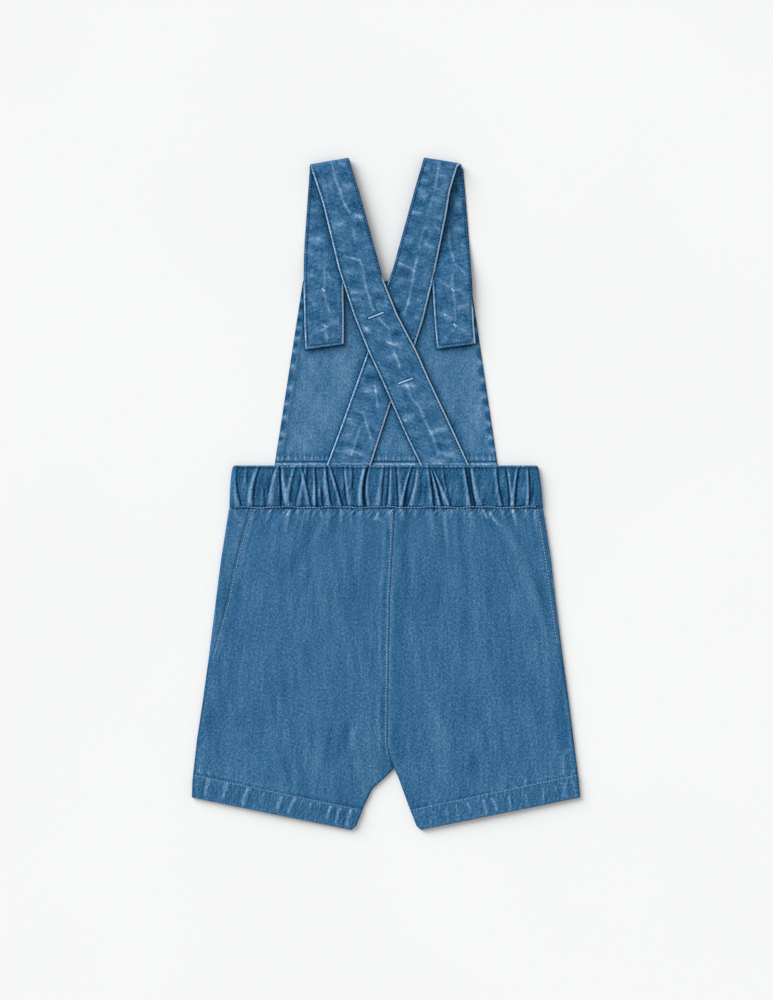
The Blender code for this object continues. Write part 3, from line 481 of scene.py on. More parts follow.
# The creases of the straps' runs and of their ends: thin pale lines along each strap, then broad
# worn patches and darker ones.
STRAP_CREASES = {
    "left": table(
        "x0 y0 x1 y1 bow height width rise fall",
        (-56, 333.5, -51.6, 318.6, -0.6, 0.40, 1.1, 0.05, 0.02),
        (-51.6, 318.6, -47.7, 307, 0.5, 0.44, 1.2, 0.02, 0.02),
        (-47.7, 307, -43.9, 296.3, -0.4, 0.42, 1.3, 0.02, 0.02),
        (-43.9, 296.3, -35, 279, 0.8, 0.44, 1.1, 0.02, 0.15),
        (-33, 266, -28.6, 248.4, 0.6, 0.34, 1.4, 0.3, 0.3),
        (-42.8, 236.3, -33.2, 236, 0.5, 0.36, 1.0, 0.3, 0.02),
        (-33.2, 236, -26.2, 233.2, 0.6, 0.42, 1.1, 0.02, 0.02),
        (-26.2, 233.2, -22.4, 223, -0.5, 0.42, 1.2, 0.02, 0.02),
        (-22.4, 223, -20.5, 208.3, 0.4, 0.38, 1.3, 0.02, 0.02),
        (-20.5, 208.3, -15.4, 190.4, -0.5, 0.44, 1.3, 0.02, 0.02),
        (-15.4, 190.4, -11.6, 182.8, 0.3, 0.42, 1.0, 0.02, 0.1),
        (-25, 170.7, -16, 162.4, 1.0, 0.30, 1.3, 0.2, 0.3),
        (-7.7, 175, 3.7, 163.6, -0.6, 0.40, 1.2, 0.1, 0.1),
        (3.0, 163, 5.0, 149.6, 0.5, 0.32, 1.2, 0.2, 0.2),
        (-1.4, 155.4, 5, 149.6, 0.6, 0.38, 1.0, 0.2, 0.02),
        (5, 149.6, 16, 147, -0.4, 0.30, 1.2, 0.02, 0.4),
        (6.7, 144, 14.8, 122, -0.8, 0.40, 1.2, 0.1, 0.3),
        (20.6, 109.6, 24.7, 96, -0.5, 0.40, 1.2, 0.2, 0.05),
        (24.7, 96, 34.4, 85.6, -0.6, 0.42, 1.2, 0.05, 0.05),
        (34.4, 85.6, 46.1, 58.6, 0.8, 0.42, 1.3, 0.05, 0.05),
        (46.1, 58.6, 52.3, 37.2, -0.6, 0.38, 1.3, 0.05, 0.3),
        # Two thin sunk lines under the crossing's bar tacks, painted dark as painted shade.
        (-19.2, 174.3, -1.1, 181.6, 0.0, -0.80, 1.35, 0.1, 0.1),
        (11.1, 109.5, 28.1, 115.9, 0.0, -0.80, 1.35, 0.1, 0.1),
        (-48.4, 331, -38.2, 329, 0.5, 0.30, 4.0, 0.3, 0.3),
        (-65, 308, -51.6, 307, 0.6, 0.34, 4.0, 0.25, 0.25),
        (-45.2, 308, -33, 307, -0.5, 0.34, 4.6, 0.2, 0.25),
        (-52, 291, -44, 292, 0.0, 0.16, 4.0, 0.4, 0.4),
        (-56, 270, -38, 270, 1.0, 0.30, 8.0, 0.25, 0.25),
        (-33.7, 279, -21, 276, 0.5, 0.34, 3.2, 0.2, 0.3),
        (-41, 222, -32, 221, 0.4, 0.22, 3.6, 0.3, 0.3),
        (-37.7, 202, -18.6, 201.5, 0.8, 0.34, 3.0, 0.2, 0.2),
        (-15.4, 203, -1.4, 202, 0.0, 0.28, 3.2, 0.2, 0.3),
        (-35.8, 194.5, -21.8, 194, 0.3, 0.30, 2.4, 0.2, 0.3),
        (-10.3, 189.5, 2.5, 188.5, 0.4, 0.36, 2.6, 0.2, 0.3),
        (-22.4, 181, -22, 174.5, 1.5, 0.26, 2.2, 0.2, 0.2),
        (-24, 167, -14, 160, 0.0, 0.28, 3.4, 0.3, 0.3),
        (-10, 163.5, -2.5, 162.5, 0.0, 0.26, 2.6, 0.3, 0.3),
        (-3.6, 150.1, 25, 151.1, 1.2, 0.22, 4.2, 0.4, 0.4),
        (-2, 135, 24, 138, -1.4, 0.24, 5.0, 0.4, 0.5),
        (4.6, 104, 35.2, 106.5, -3.0, 0.34, 3.4, 0.3, 0.3),
        (14.8, 72.6, 31.1, 80.7, 1.0, 0.32, 3.4, 0.3, 0.4),
        (30, 91, 55, 94, 1.5, 0.24, 4.4, 0.3, 0.4),
        (41.3, 58.3, 65.8, 66.4, -1.6, 0.36, 4.0, 0.3, 0.3),
        (47.5, 44, 76, 37, 1.4, 0.36, 4.0, 0.3, 0.3),
        (36, 36, 62, 31, 1.0, 0.30, 3.4, 0.3, 0.3),
        (-45, 320, -37, 318, 0.0, -0.22, 5.0, 0.3, 0.3),
        (-61, 319, -53, 317, 0.0, -0.14, 5.0, 0.3, 0.3),
        (-57, 288, -39, 286, 0.0, -0.15, 6.0, 0.3, 0.3),
        (-40, 288, -25, 286, 0.0, -0.26, 4.6, 0.3, 0.3),
        (-31, 268, -21, 267, 0.0, -0.22, 5.0, 0.3, 0.3),
        (-37, 212, -26, 211, 0.0, -0.20, 5.0, 0.3, 0.3),
        (-14, 224, -9, 214, 0.0, -0.18, 5.0, 0.3, 0.3),
        (-12, 196, 0, 194.5, 0.0, -0.22, 3.6, 0.3, 0.3),
        (-32, 184, -26, 182, 0.0, -0.20, 5.0, 0.3, 0.3),
        (0, 181, 7, 176, 0.0, -0.20, 4.5, 0.3, 0.3),
        (6, 162, 16, 158, 0.0, -0.22, 5.0, 0.3, 0.3),
        (8, 126, 32, 128, 0.0, -0.18, 4.5, 0.3, 0.3),
        (35, 76, 52, 74, 0.0, -0.18, 4.5, 0.3, 0.3),
        (38, 48, 62, 51, 0.0, -0.20, 3.6, 0.3, 0.3),
    ),
    "right": table(
        "x0 y0 x1 y1 bow height width rise fall",
        (54.5, 333.3, 51.9, 321.8, 0.3, 0.38, 1.1, 0.1, 0.02),
        (51.9, 321.8, 49.4, 308.4, -0.3, 0.38, 1.2, 0.02, 0.02),
        (49.4, 308.4, 48.7, 300.7, 0.0, 0.34, 1.1, 0.02, 0.1),
        (48.2, 300, 45.6, 294.4, 0.0, 0.34, 1.2, 0.1, 0.02),
        (45.6, 294.4, 43.6, 284.8, 0.0, 0.30, 1.4, 0.02, 0.1),
        (39.8, 268, 34.7, 254.2, 0.5, 0.34, 1.3, 0.1, 0.02),
        (34.7, 254.2, 32.8, 244.6, 0.0, 0.36, 1.2, 0.02, 0.1),
        (31.5, 238, 29.9, 228.7, 0.0, 0.34, 1.2, 0.1, 0.02),
        (29.9, 228.7, 27.3, 218.5, 0.4, 0.42, 1.2, 0.02, 0.02),
        (27.3, 218.5, 25.4, 205.7, -0.3, 0.38, 1.2, 0.02, 0.02),
        (25.4, 205.7, 22.9, 194.3, 0.3, 0.34, 1.4, 0.02, 0.02),
        (22.9, 194.3, 19.7, 184.7, -0.3, 0.36, 1.2, 0.02, 0.02),
        (19.7, 184.7, 18.4, 177, 0.3, 0.32, 1.2, 0.02, 0.2),
        (29.6, 304.6, 43, 297, -1.0, 0.34, 1.1, 0.1, 0.2),
        (12, 230.6, 29.9, 221.7, -0.8, 0.44, 1.4, 0.1, 0.1),
        (-12, 112, -8.4, 81, -0.8, 0.40, 1.3, 0.2, 0.3),
        (-33.4, 87, -22.2, 81.5, 0.8, 0.38, 1.3, 0.3, 0.1),
        (-22.2, 82.1, -13, 51.4, 0.8, 0.42, 1.3, 0.1, 0.2),
        (-24.8, 68.8, -30.4, 52.5, 0.5, 0.40, 1.2, 0.2, 0.1),
        (-30.4, 52.5, -36.5, 36.1, -0.5, 0.38, 1.2, 0.1, 0.3),
        (37, 326, 44, 324.5, 0.3, 0.30, 3.6, 0.3, 0.3),
        (33.4, 314.5, 46.2, 311.5, 0.5, 0.30, 3.0, 0.2, 0.3),
        (52.6, 318.6, 62.8, 316.5, 0.0, 0.24, 3.4, 0.3, 0.3),
        (54.5, 308.4, 62, 304, 0.0, 0.30, 4.0, 0.3, 0.3),
        (31, 298, 42, 295, 0.0, 0.26, 4.6, 0.3, 0.3),
        (47, 296, 57.7, 289, 0.0, 0.28, 5.0, 0.3, 0.3),
        (23.9, 282, 38.5, 279.7, 0.5, 0.34, 3.0, 0.2, 0.3),
        (42, 284, 41, 276, 0.0, 0.24, 3.0, 0.2, 0.2),
        (46.2, 277.5, 57.7, 275, 0.4, 0.34, 3.2, 0.3, 0.2),
        (47.5, 268, 54.5, 262.5, 0.0, 0.28, 2.6, 0.2, 0.3),
        (16.9, 255.5, 27.7, 253, 0.3, 0.36, 3.0, 0.2, 0.3),
        (36.6, 251.6, 50, 245.2, 0.6, 0.30, 3.2, 0.2, 0.3),
        (36.3, 221, 43.3, 215, 0.0, 0.28, 4.5, 0.3, 0.3),
        (12.7, 214.5, 19, 212, 0.0, 0.24, 4.0, 0.3, 0.3),
        (7, 193.5, 13, 191.5, 0.0, 0.26, 3.6, 0.3, 0.3),
        (29.9, 194, 36, 192, 0.0, 0.28, 3.2, 0.3, 0.3),
        (28.6, 179, 32.4, 174, 0.0, 0.26, 3.0, 0.3, 0.3),
        (-19.9, 129.7, -3.6, 123.6, 1.0, 0.32, 3.6, 0.3, 0.3),
        (-28, 102.2, -3.6, 106.2, 1.2, 0.32, 4.0, 0.3, 0.3),
        (-40, 76, -28, 66, -0.8, 0.30, 3.6, 0.3, 0.4),
        (-46.4, 43, -17.8, 37.9, -1.6, 0.38, 3.6, 0.2, 0.2),
        (-45.4, 57.3, -30.1, 62.4, 1.0, 0.32, 3.4, 0.3, 0.4),
        (32, 321, 43, 319, 0.0, -0.22, 4.0, 0.3, 0.3),
        (30, 309, 45, 306, 0.0, -0.20, 3.6, 0.3, 0.3),
        (27, 290, 40, 288.5, 0.0, -0.22, 3.8, 0.3, 0.3),
        (52, 284, 58, 281, 0.0, -0.20, 3.6, 0.3, 0.3),
        (23, 272, 38, 269, 0.0, -0.16, 5.0, 0.3, 0.3),
        (16, 246, 29, 243, 0.0, -0.20, 4.5, 0.3, 0.3),
        (43, 256, 51, 253, 0.0, -0.18, 3.5, 0.3, 0.3),
        (13, 225, 25, 218.5, 0.0, -0.26, 4.0, 0.3, 0.3),
        (33, 205, 40, 201, 0.0, -0.18, 5.0, 0.3, 0.3),
        (8, 180, 16, 184, 0.0, -0.20, 4.0, 0.3, 0.3),
        (-22, 118, -8, 115, 0.0, -0.20, 4.0, 0.3, 0.3),
        (-40, 50, -24, 48, 0.0, -0.22, 3.0, 0.3, 0.3),
    ),
}
END_CREASES = {
    "left": table(
        "x0 y0 x1 y1 bow height width rise fall",
        (-62.7, 231, -61.1, 205.2, -0.6, 0.36, 1.2, 0.3, 0.1),
        (-59.7, 222.6, -52.6, 212.4, 0.8, 0.34, 1.2, 0.3, 0.4),
        (-61.6, 201.1, -52.5, 175.7, 1.4, 0.40, 1.2, 0.1, 0.4),
        (-60.4, 166.6, -57.4, 150.3, 0.6, 0.34, 1.3, 0.1, 0.4),
        (-80, 285, -67, 283.5, 0.6, 0.32, 3.6, 0.3, 0.4),
        (-79, 255, -62, 253, -1.0, 0.32, 6.0, 0.3, 0.3),
        (-79, 240, -64, 236, 1.0, 0.24, 4.0, 0.4, 0.4),
        (-80, 216, -65, 219, -0.8, 0.26, 4.0, 0.4, 0.5),
        (-79, 198, -64.8, 187.9, 1.2, 0.30, 3.4, 0.3, 0.4),
        (-60, 166.6, -44.4, 173.6, -1.0, 0.32, 3.4, 0.2, 0.4),
        (-77, 159.3, -60.7, 165.4, 1.0, 0.28, 3.0, 0.4, 0.2),
        (-76, 303, -71, 291, 0.0, -0.30, 4.0, 0.3, 0.3),
        (-78, 271, -65, 268, 0.0, -0.18, 5.0, 0.3, 0.3),
        (-78, 228, -66, 227, 0.0, -0.18, 4.0, 0.3, 0.3),
        (-58, 192, -47, 190, 0.0, -0.18, 5.0, 0.3, 0.3),
        (-78, 178, -64, 176, 0.0, -0.18, 4.5, 0.3, 0.3),
    ),
    "right": table(
        "x0 y0 x1 y1 bow height width rise fall",
        (62.8, 267.6, 64.7, 243.3, 0.5, 0.34, 1.3, 0.2, 0.1),
        (64.7, 243.3, 67.9, 229.7, -0.6, 0.36, 1.2, 0.1, 0.1),
        (67.9, 229.7, 81.1, 215.5, -1.4, 0.38, 1.2, 0.1, 0.4),
        (66.9, 222.6, 66.4, 205.2, 0.6, 0.36, 1.3, 0.3, 0.1),
        (66.9, 202.1, 68.9, 170.5, -1.0, 0.40, 1.2, 0.1, 0.1),
        (68, 290, 77, 289, 0.5, 0.32, 5.0, 0.3, 0.3),
        (65.3, 266, 78.5, 265, 0.5, 0.32, 3.8, 0.3, 0.3),
        (74, 249, 82, 247.5, 0.0, 0.28, 3.0, 0.3, 0.3),
        (50.6, 214.4, 65.8, 206.3, 1.0, 0.32, 3.0, 0.3, 0.2),
        (52.6, 181.7, 67.8, 171.6, -1.0, 0.34, 2.8, 0.3, 0.2),
        (70.9, 184.9, 86.2, 194, 1.0, 0.32, 3.2, 0.2, 0.4),
        (71, 168.4, 85, 160, 1.2, 0.32, 2.8, 0.1, 0.4),
        (67, 204.5, 81, 199.5, -0.8, 0.30, 2.4, 0.1, 0.4),
        (69, 312, 72, 300, 0.0, -0.26, 4.0, 0.3, 0.3),
        (67, 279, 79, 277, 0.0, -0.20, 4.5, 0.3, 0.3),
        (69, 257, 80, 256, 0.0, -0.18, 4.0, 0.3, 0.3),
        (53, 197, 63, 194, 0.0, -0.18, 5.0, 0.3, 0.3),
        (72, 178, 84, 176, 0.0, -0.18, 4.0, 0.3, 0.3),
    ),
}

# The heights of the puckers down the bib's sides.
BIB_MARKS = {
    "left": (206, 193, 181, 167, 155, 143, 128, 106, 89.5, 76.6, 60.5, 50.5),
    "right": (206, 192, 178, 164, 148, 131, 114, 98, 84.5, 70.5, 57, 44),
}

# ---------------------------------------------------------------- cloth as grids


def outward(points):
    """Each grid point's unit direction square to the surface: the cross of its two tangents."""
    across = np.gradient(points, axis=1)
    down = np.gradient(points, axis=0)
    return unit(np.cross(across, down))


def grid_lengths(points):
    """Distances along a grid's rows and columns, in millimetres: the weave's coordinates."""
    across = np.linalg.norm(np.diff(points, axis=1), axis=-1)
    down = np.linalg.norm(np.diff(points, axis=0), axis=-1)
    across = np.pad(np.cumsum(across, axis=1), ((0, 0), (1, 0)))
    down = np.pad(np.cumsum(down, axis=0), ((1, 0), (0, 0)))
    middle = across[:, across.shape[1] // 2][:, None]
    return np.stack([across - middle, down], axis=-1)


def facing_out(points, faces):
    """A closed shape's faces, all turned over if the volume they enclose comes out below 0."""
    a, b, c, d = (points[faces[:, corner]] for corner in range(4))
    volume = np.einsum("ij,ij->i", a, np.cross(b, c)) + np.einsum("ij,ij->i", a, np.cross(c, d))
    return faces[:, ::-1] if volume.sum() < 0 else faces


def add_mesh(name, points, faces, materials, corner_weave=None, wear_and_painted_light=None):
    """A finished object from points in millimetres, with its weave map and its wear with painted light and
    shade.
    """
    mesh = bpy.data.meshes.new(name)
    count = len(points)
    mesh.vertices.add(count)
    mesh.vertices.foreach_set("co", ((points + SHIFT) * MM).astype(np.float32).ravel())
    sizes = np.full(len(faces), faces.shape[1])
    mesh.loops.add(int(sizes.sum()))
    mesh.loops.foreach_set("vertex_index", faces.astype(np.int32).ravel())
    mesh.polygons.add(len(faces))
    mesh.polygons.foreach_set("loop_start", (np.cumsum(sizes) - sizes).astype(np.int32))
    mesh.update(calc_edges=True)
    mesh.shade_smooth()
    if corner_weave is not None:
        weave = mesh.uv_layers.new(name="weave")
        weave.data.foreach_set("uv", (corner_weave[faces.ravel()] * MM).astype(np.float32).ravel())
    if wear_and_painted_light is not None:
        worn_and_painted_light = mesh.attributes.new("worn_and_painted_light", "FLOAT", "POINT")
        worn_and_painted_light.data.foreach_set("value", np.clip(wear_and_painted_light, 0.0, 1.0).astype(np.float32))
    for material in materials:
        mesh.materials.append(material)
    made = bpy.data.objects.new(name, mesh)
    bpy.context.scene.collection.objects.link(made)
    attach(made, "root")
    return made


# How far the back's weave is shifted, so that it doesn't repeat the face's.
BACK_WEAVE = 37.0


def add_cloth(name, face, back, material, wear_and_painted_light, weave=None):
    """A piece of cloth: the closed wall between its face grid and its back grid.

    The wear, with its painted light and shade, is for the face alone, with 0.5 on the back, or a pair for
    both.
    """
    rows, columns = face.shape[:2]
    count = rows * columns
    index = np.arange(count).reshape(rows, columns)
    corners = (index[:-1, :-1], index[1:, :-1], index[1:, 1:], index[:-1, 1:])
    cells = np.stack(corners, axis=-1).reshape(-1, 4)
    rim = np.concatenate([index[0, :-1], index[:-1, -1], index[-1, :0:-1], index[:0:-1, 0]])
    after = np.roll(rim, -1)
    edge = np.stack([rim, after, after + count, rim + count], axis=-1)
    faces = np.concatenate([cells, cells[:, ::-1] + count, edge])
    points = np.concatenate([face.reshape(-1, 3), back.reshape(-1, 3)])
    faces = facing_out(points, faces)
    weave = grid_lengths(face) if weave is None else weave
    both_weave = np.concatenate([weave.reshape(-1, 2), weave.reshape(-1, 2) + BACK_WEAVE])
    if wear_and_painted_light.ndim == 3:
        both_wear_and_painted_light = wear_and_painted_light.reshape(2, -1).ravel()
    else:
        both_wear_and_painted_light = np.concatenate([wear_and_painted_light.ravel(), np.full(count, 0.5)])
    return add_mesh(name, points, faces, [material], both_weave, both_wear_and_painted_light)


# ---------------------------------------------------------------- the legs


# Rows of a panel down to its hem, and rows of the hem itself.
BACK_ROWS = (225, 24)
FRONT_ROWS = (100, 14)


def leg_steps(panel_rows, hem_rows):
    """A column of steps down a leg: 0 at the waist, 1 at the hem's seam, then on to the hem's edge."""
    panel = np.linspace(0.0, 1.0, panel_rows)[:-1]
    return np.concatenate([panel, np.linspace(1.0, 1.0 + HEM_STEP, hem_rows)])[:, None]


def leg_rows(side, step):
    """Each row's ends, direction, wall, bend, arch, side seam and inner curl, for a column of steps."""
    side_y = read(LEG, "side", step)
    inner_y = read(LEG, "inner", step)
    outer_x = read(SIDE, side, side_y)
    run_x = read(INNER, side, inner_y) - outer_x
    run_y = inner_y - side_y
    width = np.hypot(run_x, run_y)
    high, low = CROTCH_CURL
    return {
        "outer_x": outer_x,
        "outer_y": side_y,
        "along_x": run_x / width,
        "along_y": run_y / width,
        "width": width,
        "wall": read(LEG, "wall", step),
        "bend": read(LEG, "bend", step),
        "arch": read(LEG, "arch", step),
        "seam": read(SIDE_SEAM, side, side_y),
        "curl": smooth((high - inner_y) / (high - low)),
        "step": step,
    }


def side_path(rows, arc):
    """The wall's middle round the side fold by distance from the fold's outermost line.

    Up and over the back above 0, down and along the floor below 0: a straight of GAP, a
    quarter circle of the bend, then level. Returns distance in, height and outward direction.
    """
    size = np.abs(arc)
    quarter = rows["bend"] * math.pi / 2
    turn = np.clip(size - GAP / 2, 0.0, quarter) / rows["bend"]
    level = np.clip(size - GAP / 2 - quarter, 0.0, None)
    rise = np.minimum(size, GAP / 2) + rows["bend"] * np.sin(turn)
    inward = rows["wall"] / 2 + rows["bend"] * (1.0 - np.cos(turn)) + level
    height = rows["wall"] / 2 + rows["bend"] + GAP / 2 + np.sign(arc) * rise
    return inward, height, -np.cos(turn), np.sign(arc) * np.sin(turn)


def inner_end(rows, share, over_back):
    """The wall's last columns: level at the centre seam, a quarter circle at the inseam."""
    quarter = rows["curl"] * math.pi / 2
    turn = quarter * share
    flat = 1.5 * (1.0 - rows["curl"])
    level = flat * share
    reach = (rows["bend"] + rows["wall"] / 2) * np.sin(quarter) + flat
    inward = rows["width"] - GAP / 2 - reach + rows["bend"] * np.sin(turn) + level
    drop = rows["bend"] * (1.0 - np.cos(turn))
    floor = rows["wall"] / 2
    top = floor + 2 * rows["bend"] + GAP
    height = top - drop if over_back else floor + drop
    return inward, height, np.sin(turn), np.cos(turn) * (1.0 if over_back else -1.0)


def leg_columns(rows, over_back, count):
    """A panel's points across, from the side seam to the inner edge.

    A back panel starts in the side fold, and a front one above it. count sets how many are level.
    Returns distance in from the side, height, and the outward direction along and up.
    """
    quarter = GAP / 2 + rows["bend"] * math.pi / 2
    bend_share = np.linspace(0.0, 1.0, 7)[None, :]
    end = inner_end(rows, bend_share, over_back)
    if over_back:
        arc = rows["seam"] + GAP / 2 + (quarter - GAP / 2) * bend_share
        first = side_path(rows, arc)
    else:
        start = rows["seam"] - GAP / 2
        bend_start = np.minimum(start - 0.6, quarter)
        over = start + (bend_start - start) * np.linspace(0.0, 1.0, 16)[None, :-1]
        round_side = bend_start + (-quarter - bend_start) * np.linspace(0.0, 1.0, 12)[None, :]
        first = side_path(rows, np.concatenate([over, round_side], axis=1))
    share = np.linspace(0.0, 1.0, count + 1)[None, 1:-1]
    inward = first[0][:, -1:] + (end[0][:, :1] - first[0][:, -1:]) * share
    level = np.broadcast_to(end[1][:, :1], inward.shape)
    facing = np.full(inward.shape, 1.0 if over_back else -1.0)
    middle = (inward, level, np.zeros(inward.shape), facing)
    return [np.concatenate(parts, axis=1) for parts in zip(first, middle, end)]


def leg_places(rows, inward):
    """The x and y of a distance in from the side, along each row."""
    return [rows[f"outer_{axis}"] + rows[f"along_{axis}"] * inward for axis in "xy"]


def leg_surface(rows, middle, offset):
    """A panel's middle moved outwards by an offset at each point, along its rows and up."""
    inward, height, out_along, out_up = middle
    x, y = leg_places(rows, inward + out_along * offset)
    return np.stack([x, y, height + out_up * offset], axis=-1)


def arch_rise(rows, inward):
    """The leg's arch: a quarter sine to the centre seam above the crotch, a half sine below it."""
    edge = rows["wall"] / 2 + rows["bend"]
    share = np.clip((inward - edge) / (rows["width"] - edge), 0.0, 1.0)
    curl = rows["curl"]
    arch = (1 - curl) * np.sin(share * math.pi / 2) + curl * np.sin(share * math.pi)
    return rows["arch"] * arch


def edge_fade(rows, inward):
    """1 over the level cloth, falling to 0 at the folded edges."""
    edge = rows["wall"] / 2 + rows["bend"]
    inner = smooth((rows["width"] - inward) / 5.0)
    return smooth((inward - edge) / 5.0) * (1 - rows["curl"] * (1 - inner))


def roping(along, down, seed, pitch, lean):
    """Uneven slanted ridges across a turned hem: crests about a pitch apart, leaning and wandering."""
    wander = 0.55 * np.sin(along / 17.0 + seed) + 0.4 * np.sin(along / 41.0 + 2.1 * seed)
    phase = (along + lean * down) / pitch + wander
    strength = 0.6 + 0.4 * np.sin(along / 13.3 + 1.7 * seed)
    return strength * crests(phase, 3) + 0.35 * crests(2.1 * phase + 0.3, 4)


def waist_pulls(x, y):
    """Short ridges under each gather of the waistband, fading down the shorts' back."""
    total = np.zeros(x.shape)
    for number, (foot, height) in enumerate(zip(GATHERS["foot"], GATHERS["height"])):
        length = 20.0 + 14.0 * math.sin(2.3 * number)
        across = x - foot - 0.06 * foot * (WAIST_Y - y) / 40.0
        total += 0.22 * height * bell(across / 1.9) * smooth(1.0 - (WAIST_Y - y) / length)
    return total


def seam_wander(y):
    """How a seam's beads stray down its length: three sines of about a millimetre together."""
    return 0.8 * np.sin(y / 9.0) + 0.5 * np.sin(y / 5.3 + 1.0) + 0.6 * np.sin(y / 21.0)


def centre_seam(left, y, from_centre):
    """The felled centre seam: its lap, two wandering rows of beads, most on the left, and its groove.

    Returns the relief of the lap and the groove, and the beads.
    """
    wander = seam_wander(y)
    uneven = 0.6 + 0.4 * np.sin(y / 13.0 + 1.0 + 0.5 * wander)
    beads = 0.11 * uneven * bell((from_centre - 9.2 - 0.9 * wander) / 1.2)
    beads = beads + 0.08 * (1.0 - uneven) * bell((from_centre - 12.2 + 0.7 * wander) / 1.1)
    beads = beads - 0.16 * bell((from_centre - 5.4) / 1.9) * (0.7 + 0.3 * np.sin(y / 9.0))
    beads = beads + 0.05 * np.sin(y / 1.9 + 1.5 * wander) * bell((from_centre - 4.0) / 2.4)
    lap = (0.10 if left else 0.04) * smooth((12.0 - from_centre) / 2.6)
    return lap - 0.40 * bell(from_centre / 0.8), beads * (1.0 if left else 0.25)


def side_seam(y, seam, from_side):
    """The side seam where it lies on the back: its lap, and beads along it."""
    wander = seam_wander(y)
    shows = smooth(seam / 3.0)
    beads = 0.14 * np.clip(np.sin(y / 2.3 + wander), 0, 1) ** 2 * bell((from_side - 3.5) / 2.6)
    return (0.16 * smooth((9.0 - from_side) / 3.0) + beads) * shows


def hem_relief(left, x, y, inward, hem_down):
    """The turned hem's relief: its own ridges, fine roping between them, and small wrinkles."""
    along = inward if left else -inward
    down = hem_down * HEM_DEPTH
    roped = 0.12 * roping(along, down, 1.0 if left else 4.0, 8.7, 0.18)
    return ridges(x, y, HEM_ROPES) + roped + 0.16 * ripple(along + 4.0 * hem_down, down, 3.0, 25, 3.5)


def back_leg_relief(side, rows, inward, x, y):
    """The relief of a back panel, and the extra wear along its seams and its edges, with painted shade on
    the curled inseam below the crotch.
    """
    left = side == "left"
    step = rows["step"]
    hem_down = (step - 1.0) / HEM_STEP
    in_hem = smooth(hem_down / 0.08)
    below_waist = WAIST_Y - y
    from_centre = rows["width"] - inward
    above_crotch = 1.0 - rows["curl"]

    folds = 0.45 * ridges(x, y, FOLDS) + waist_pulls(x, y) + ridges(x, y, WAIST_CREASES)
    crinkles = 0.42 * ripple(x + 0.5 * below_waist, y * 0.5, 2.9, 21, 2.0) * bell(below_waist / 7.5)
    across = leg_weave(side, x, y)[..., 0]
    drape = 0.28 * ripple(across, y, 40, 11, 3.4) + 0.05 * ripple(across, y, 9, 12, 5.0)
    drape = drape + 0.03 * ripple(x, y, 3.4, 13, 1.3)
    lap, beads = (part * above_crotch for part in centre_seam(left, y, from_centre))
    panel = folds + crinkles + drape + lap + beads + side_seam(y, rows["seam"], inward - rows["seam"])

    above_hem = np.clip((1.0 - step) * LEG_LENGTH, 0.0, None)
    pulls = roping(inward if left else -inward, -above_hem * 0.9, 1.4 if left else 4.4, 7.9, 0.35)
    pulls = 0.24 * pulls * np.exp(-above_hem / 5.0) * (1.0 - in_hem)
    hem = hem_relief(left, x, y, inward, hem_down)
    relief = (panel * (1.0 - in_hem) + hem * in_hem) * edge_fade(rows, inward)
    relief = relief + pulls - 0.24 * bell((step - 1.0) / 0.006)

    pale = 0.10 * bell((step - 1.0 - HEM_STEP) / 0.012) + 0.07 * bell(from_centre / 1.5) * above_crotch
    pale = pale + (0.25 if left else 0.1) * beads * above_crotch
    pale = pale - 0.22 * bell((inward - 0.6) / 1.1) * smooth(1.0 - rows["seam"])
    # Painted shade on the curled inseam below the crotch.
    pale = pale - 0.16 * bell((from_centre - 0.6) / 1.1) * rows["curl"]
    if not left:
        pale = pale - 0.05 * bell((from_centre - 9.0) / 5.0) * above_crotch
    return relief, pale


def leg_weave(side, x, y):
    """A leg's weave coordinates: the warp runs down and spreads from a middle line, most at the top."""
    middle, spread = (-10.0, 0.32) if side == "left" else (60.0, 0.50)
    below = np.clip((WAIST_Y - y) / 288.0, 0.0, None)
    return np.stack([(x - middle) / (1.0 + spread * (1.0 - np.exp(-2.2 * below))), y], axis=-1)


def back_leg(side):
    """A back leg panel, from the side seam to the centre back seam and the inseam."""
    rows = leg_rows(side, leg_steps(*BACK_ROWS))
    inward, height, out_along, out_up = leg_columns(rows, True, 126)
    x, y = leg_places(rows, inward)
    relief, pale = back_leg_relief(side, rows, inward, x, y)
    height = height + arch_rise(rows, inward) * (out_up > 0.0)
    middle = (inward, height, out_along, out_up)
    half = rows["wall"] / 2
    face = leg_surface(rows, middle, half + relief)
    back = leg_surface(rows, middle, -half + np.clip(blur(relief, 3), -0.6, 1.0) * edge_fade(rows, inward))
    wear_and_painted_light = crest_wear(relief, 3, 2.2) + 0.14 * (crest_wear(relief, 14, 3.2) - 0.5) + pale
    weave = leg_weave(side, x, y)
    made = add_cloth(f"back_leg_{side}_cloth", face, back, DENIM_BODY, wear_and_painted_light, weave)
    return made, face, inward, rows


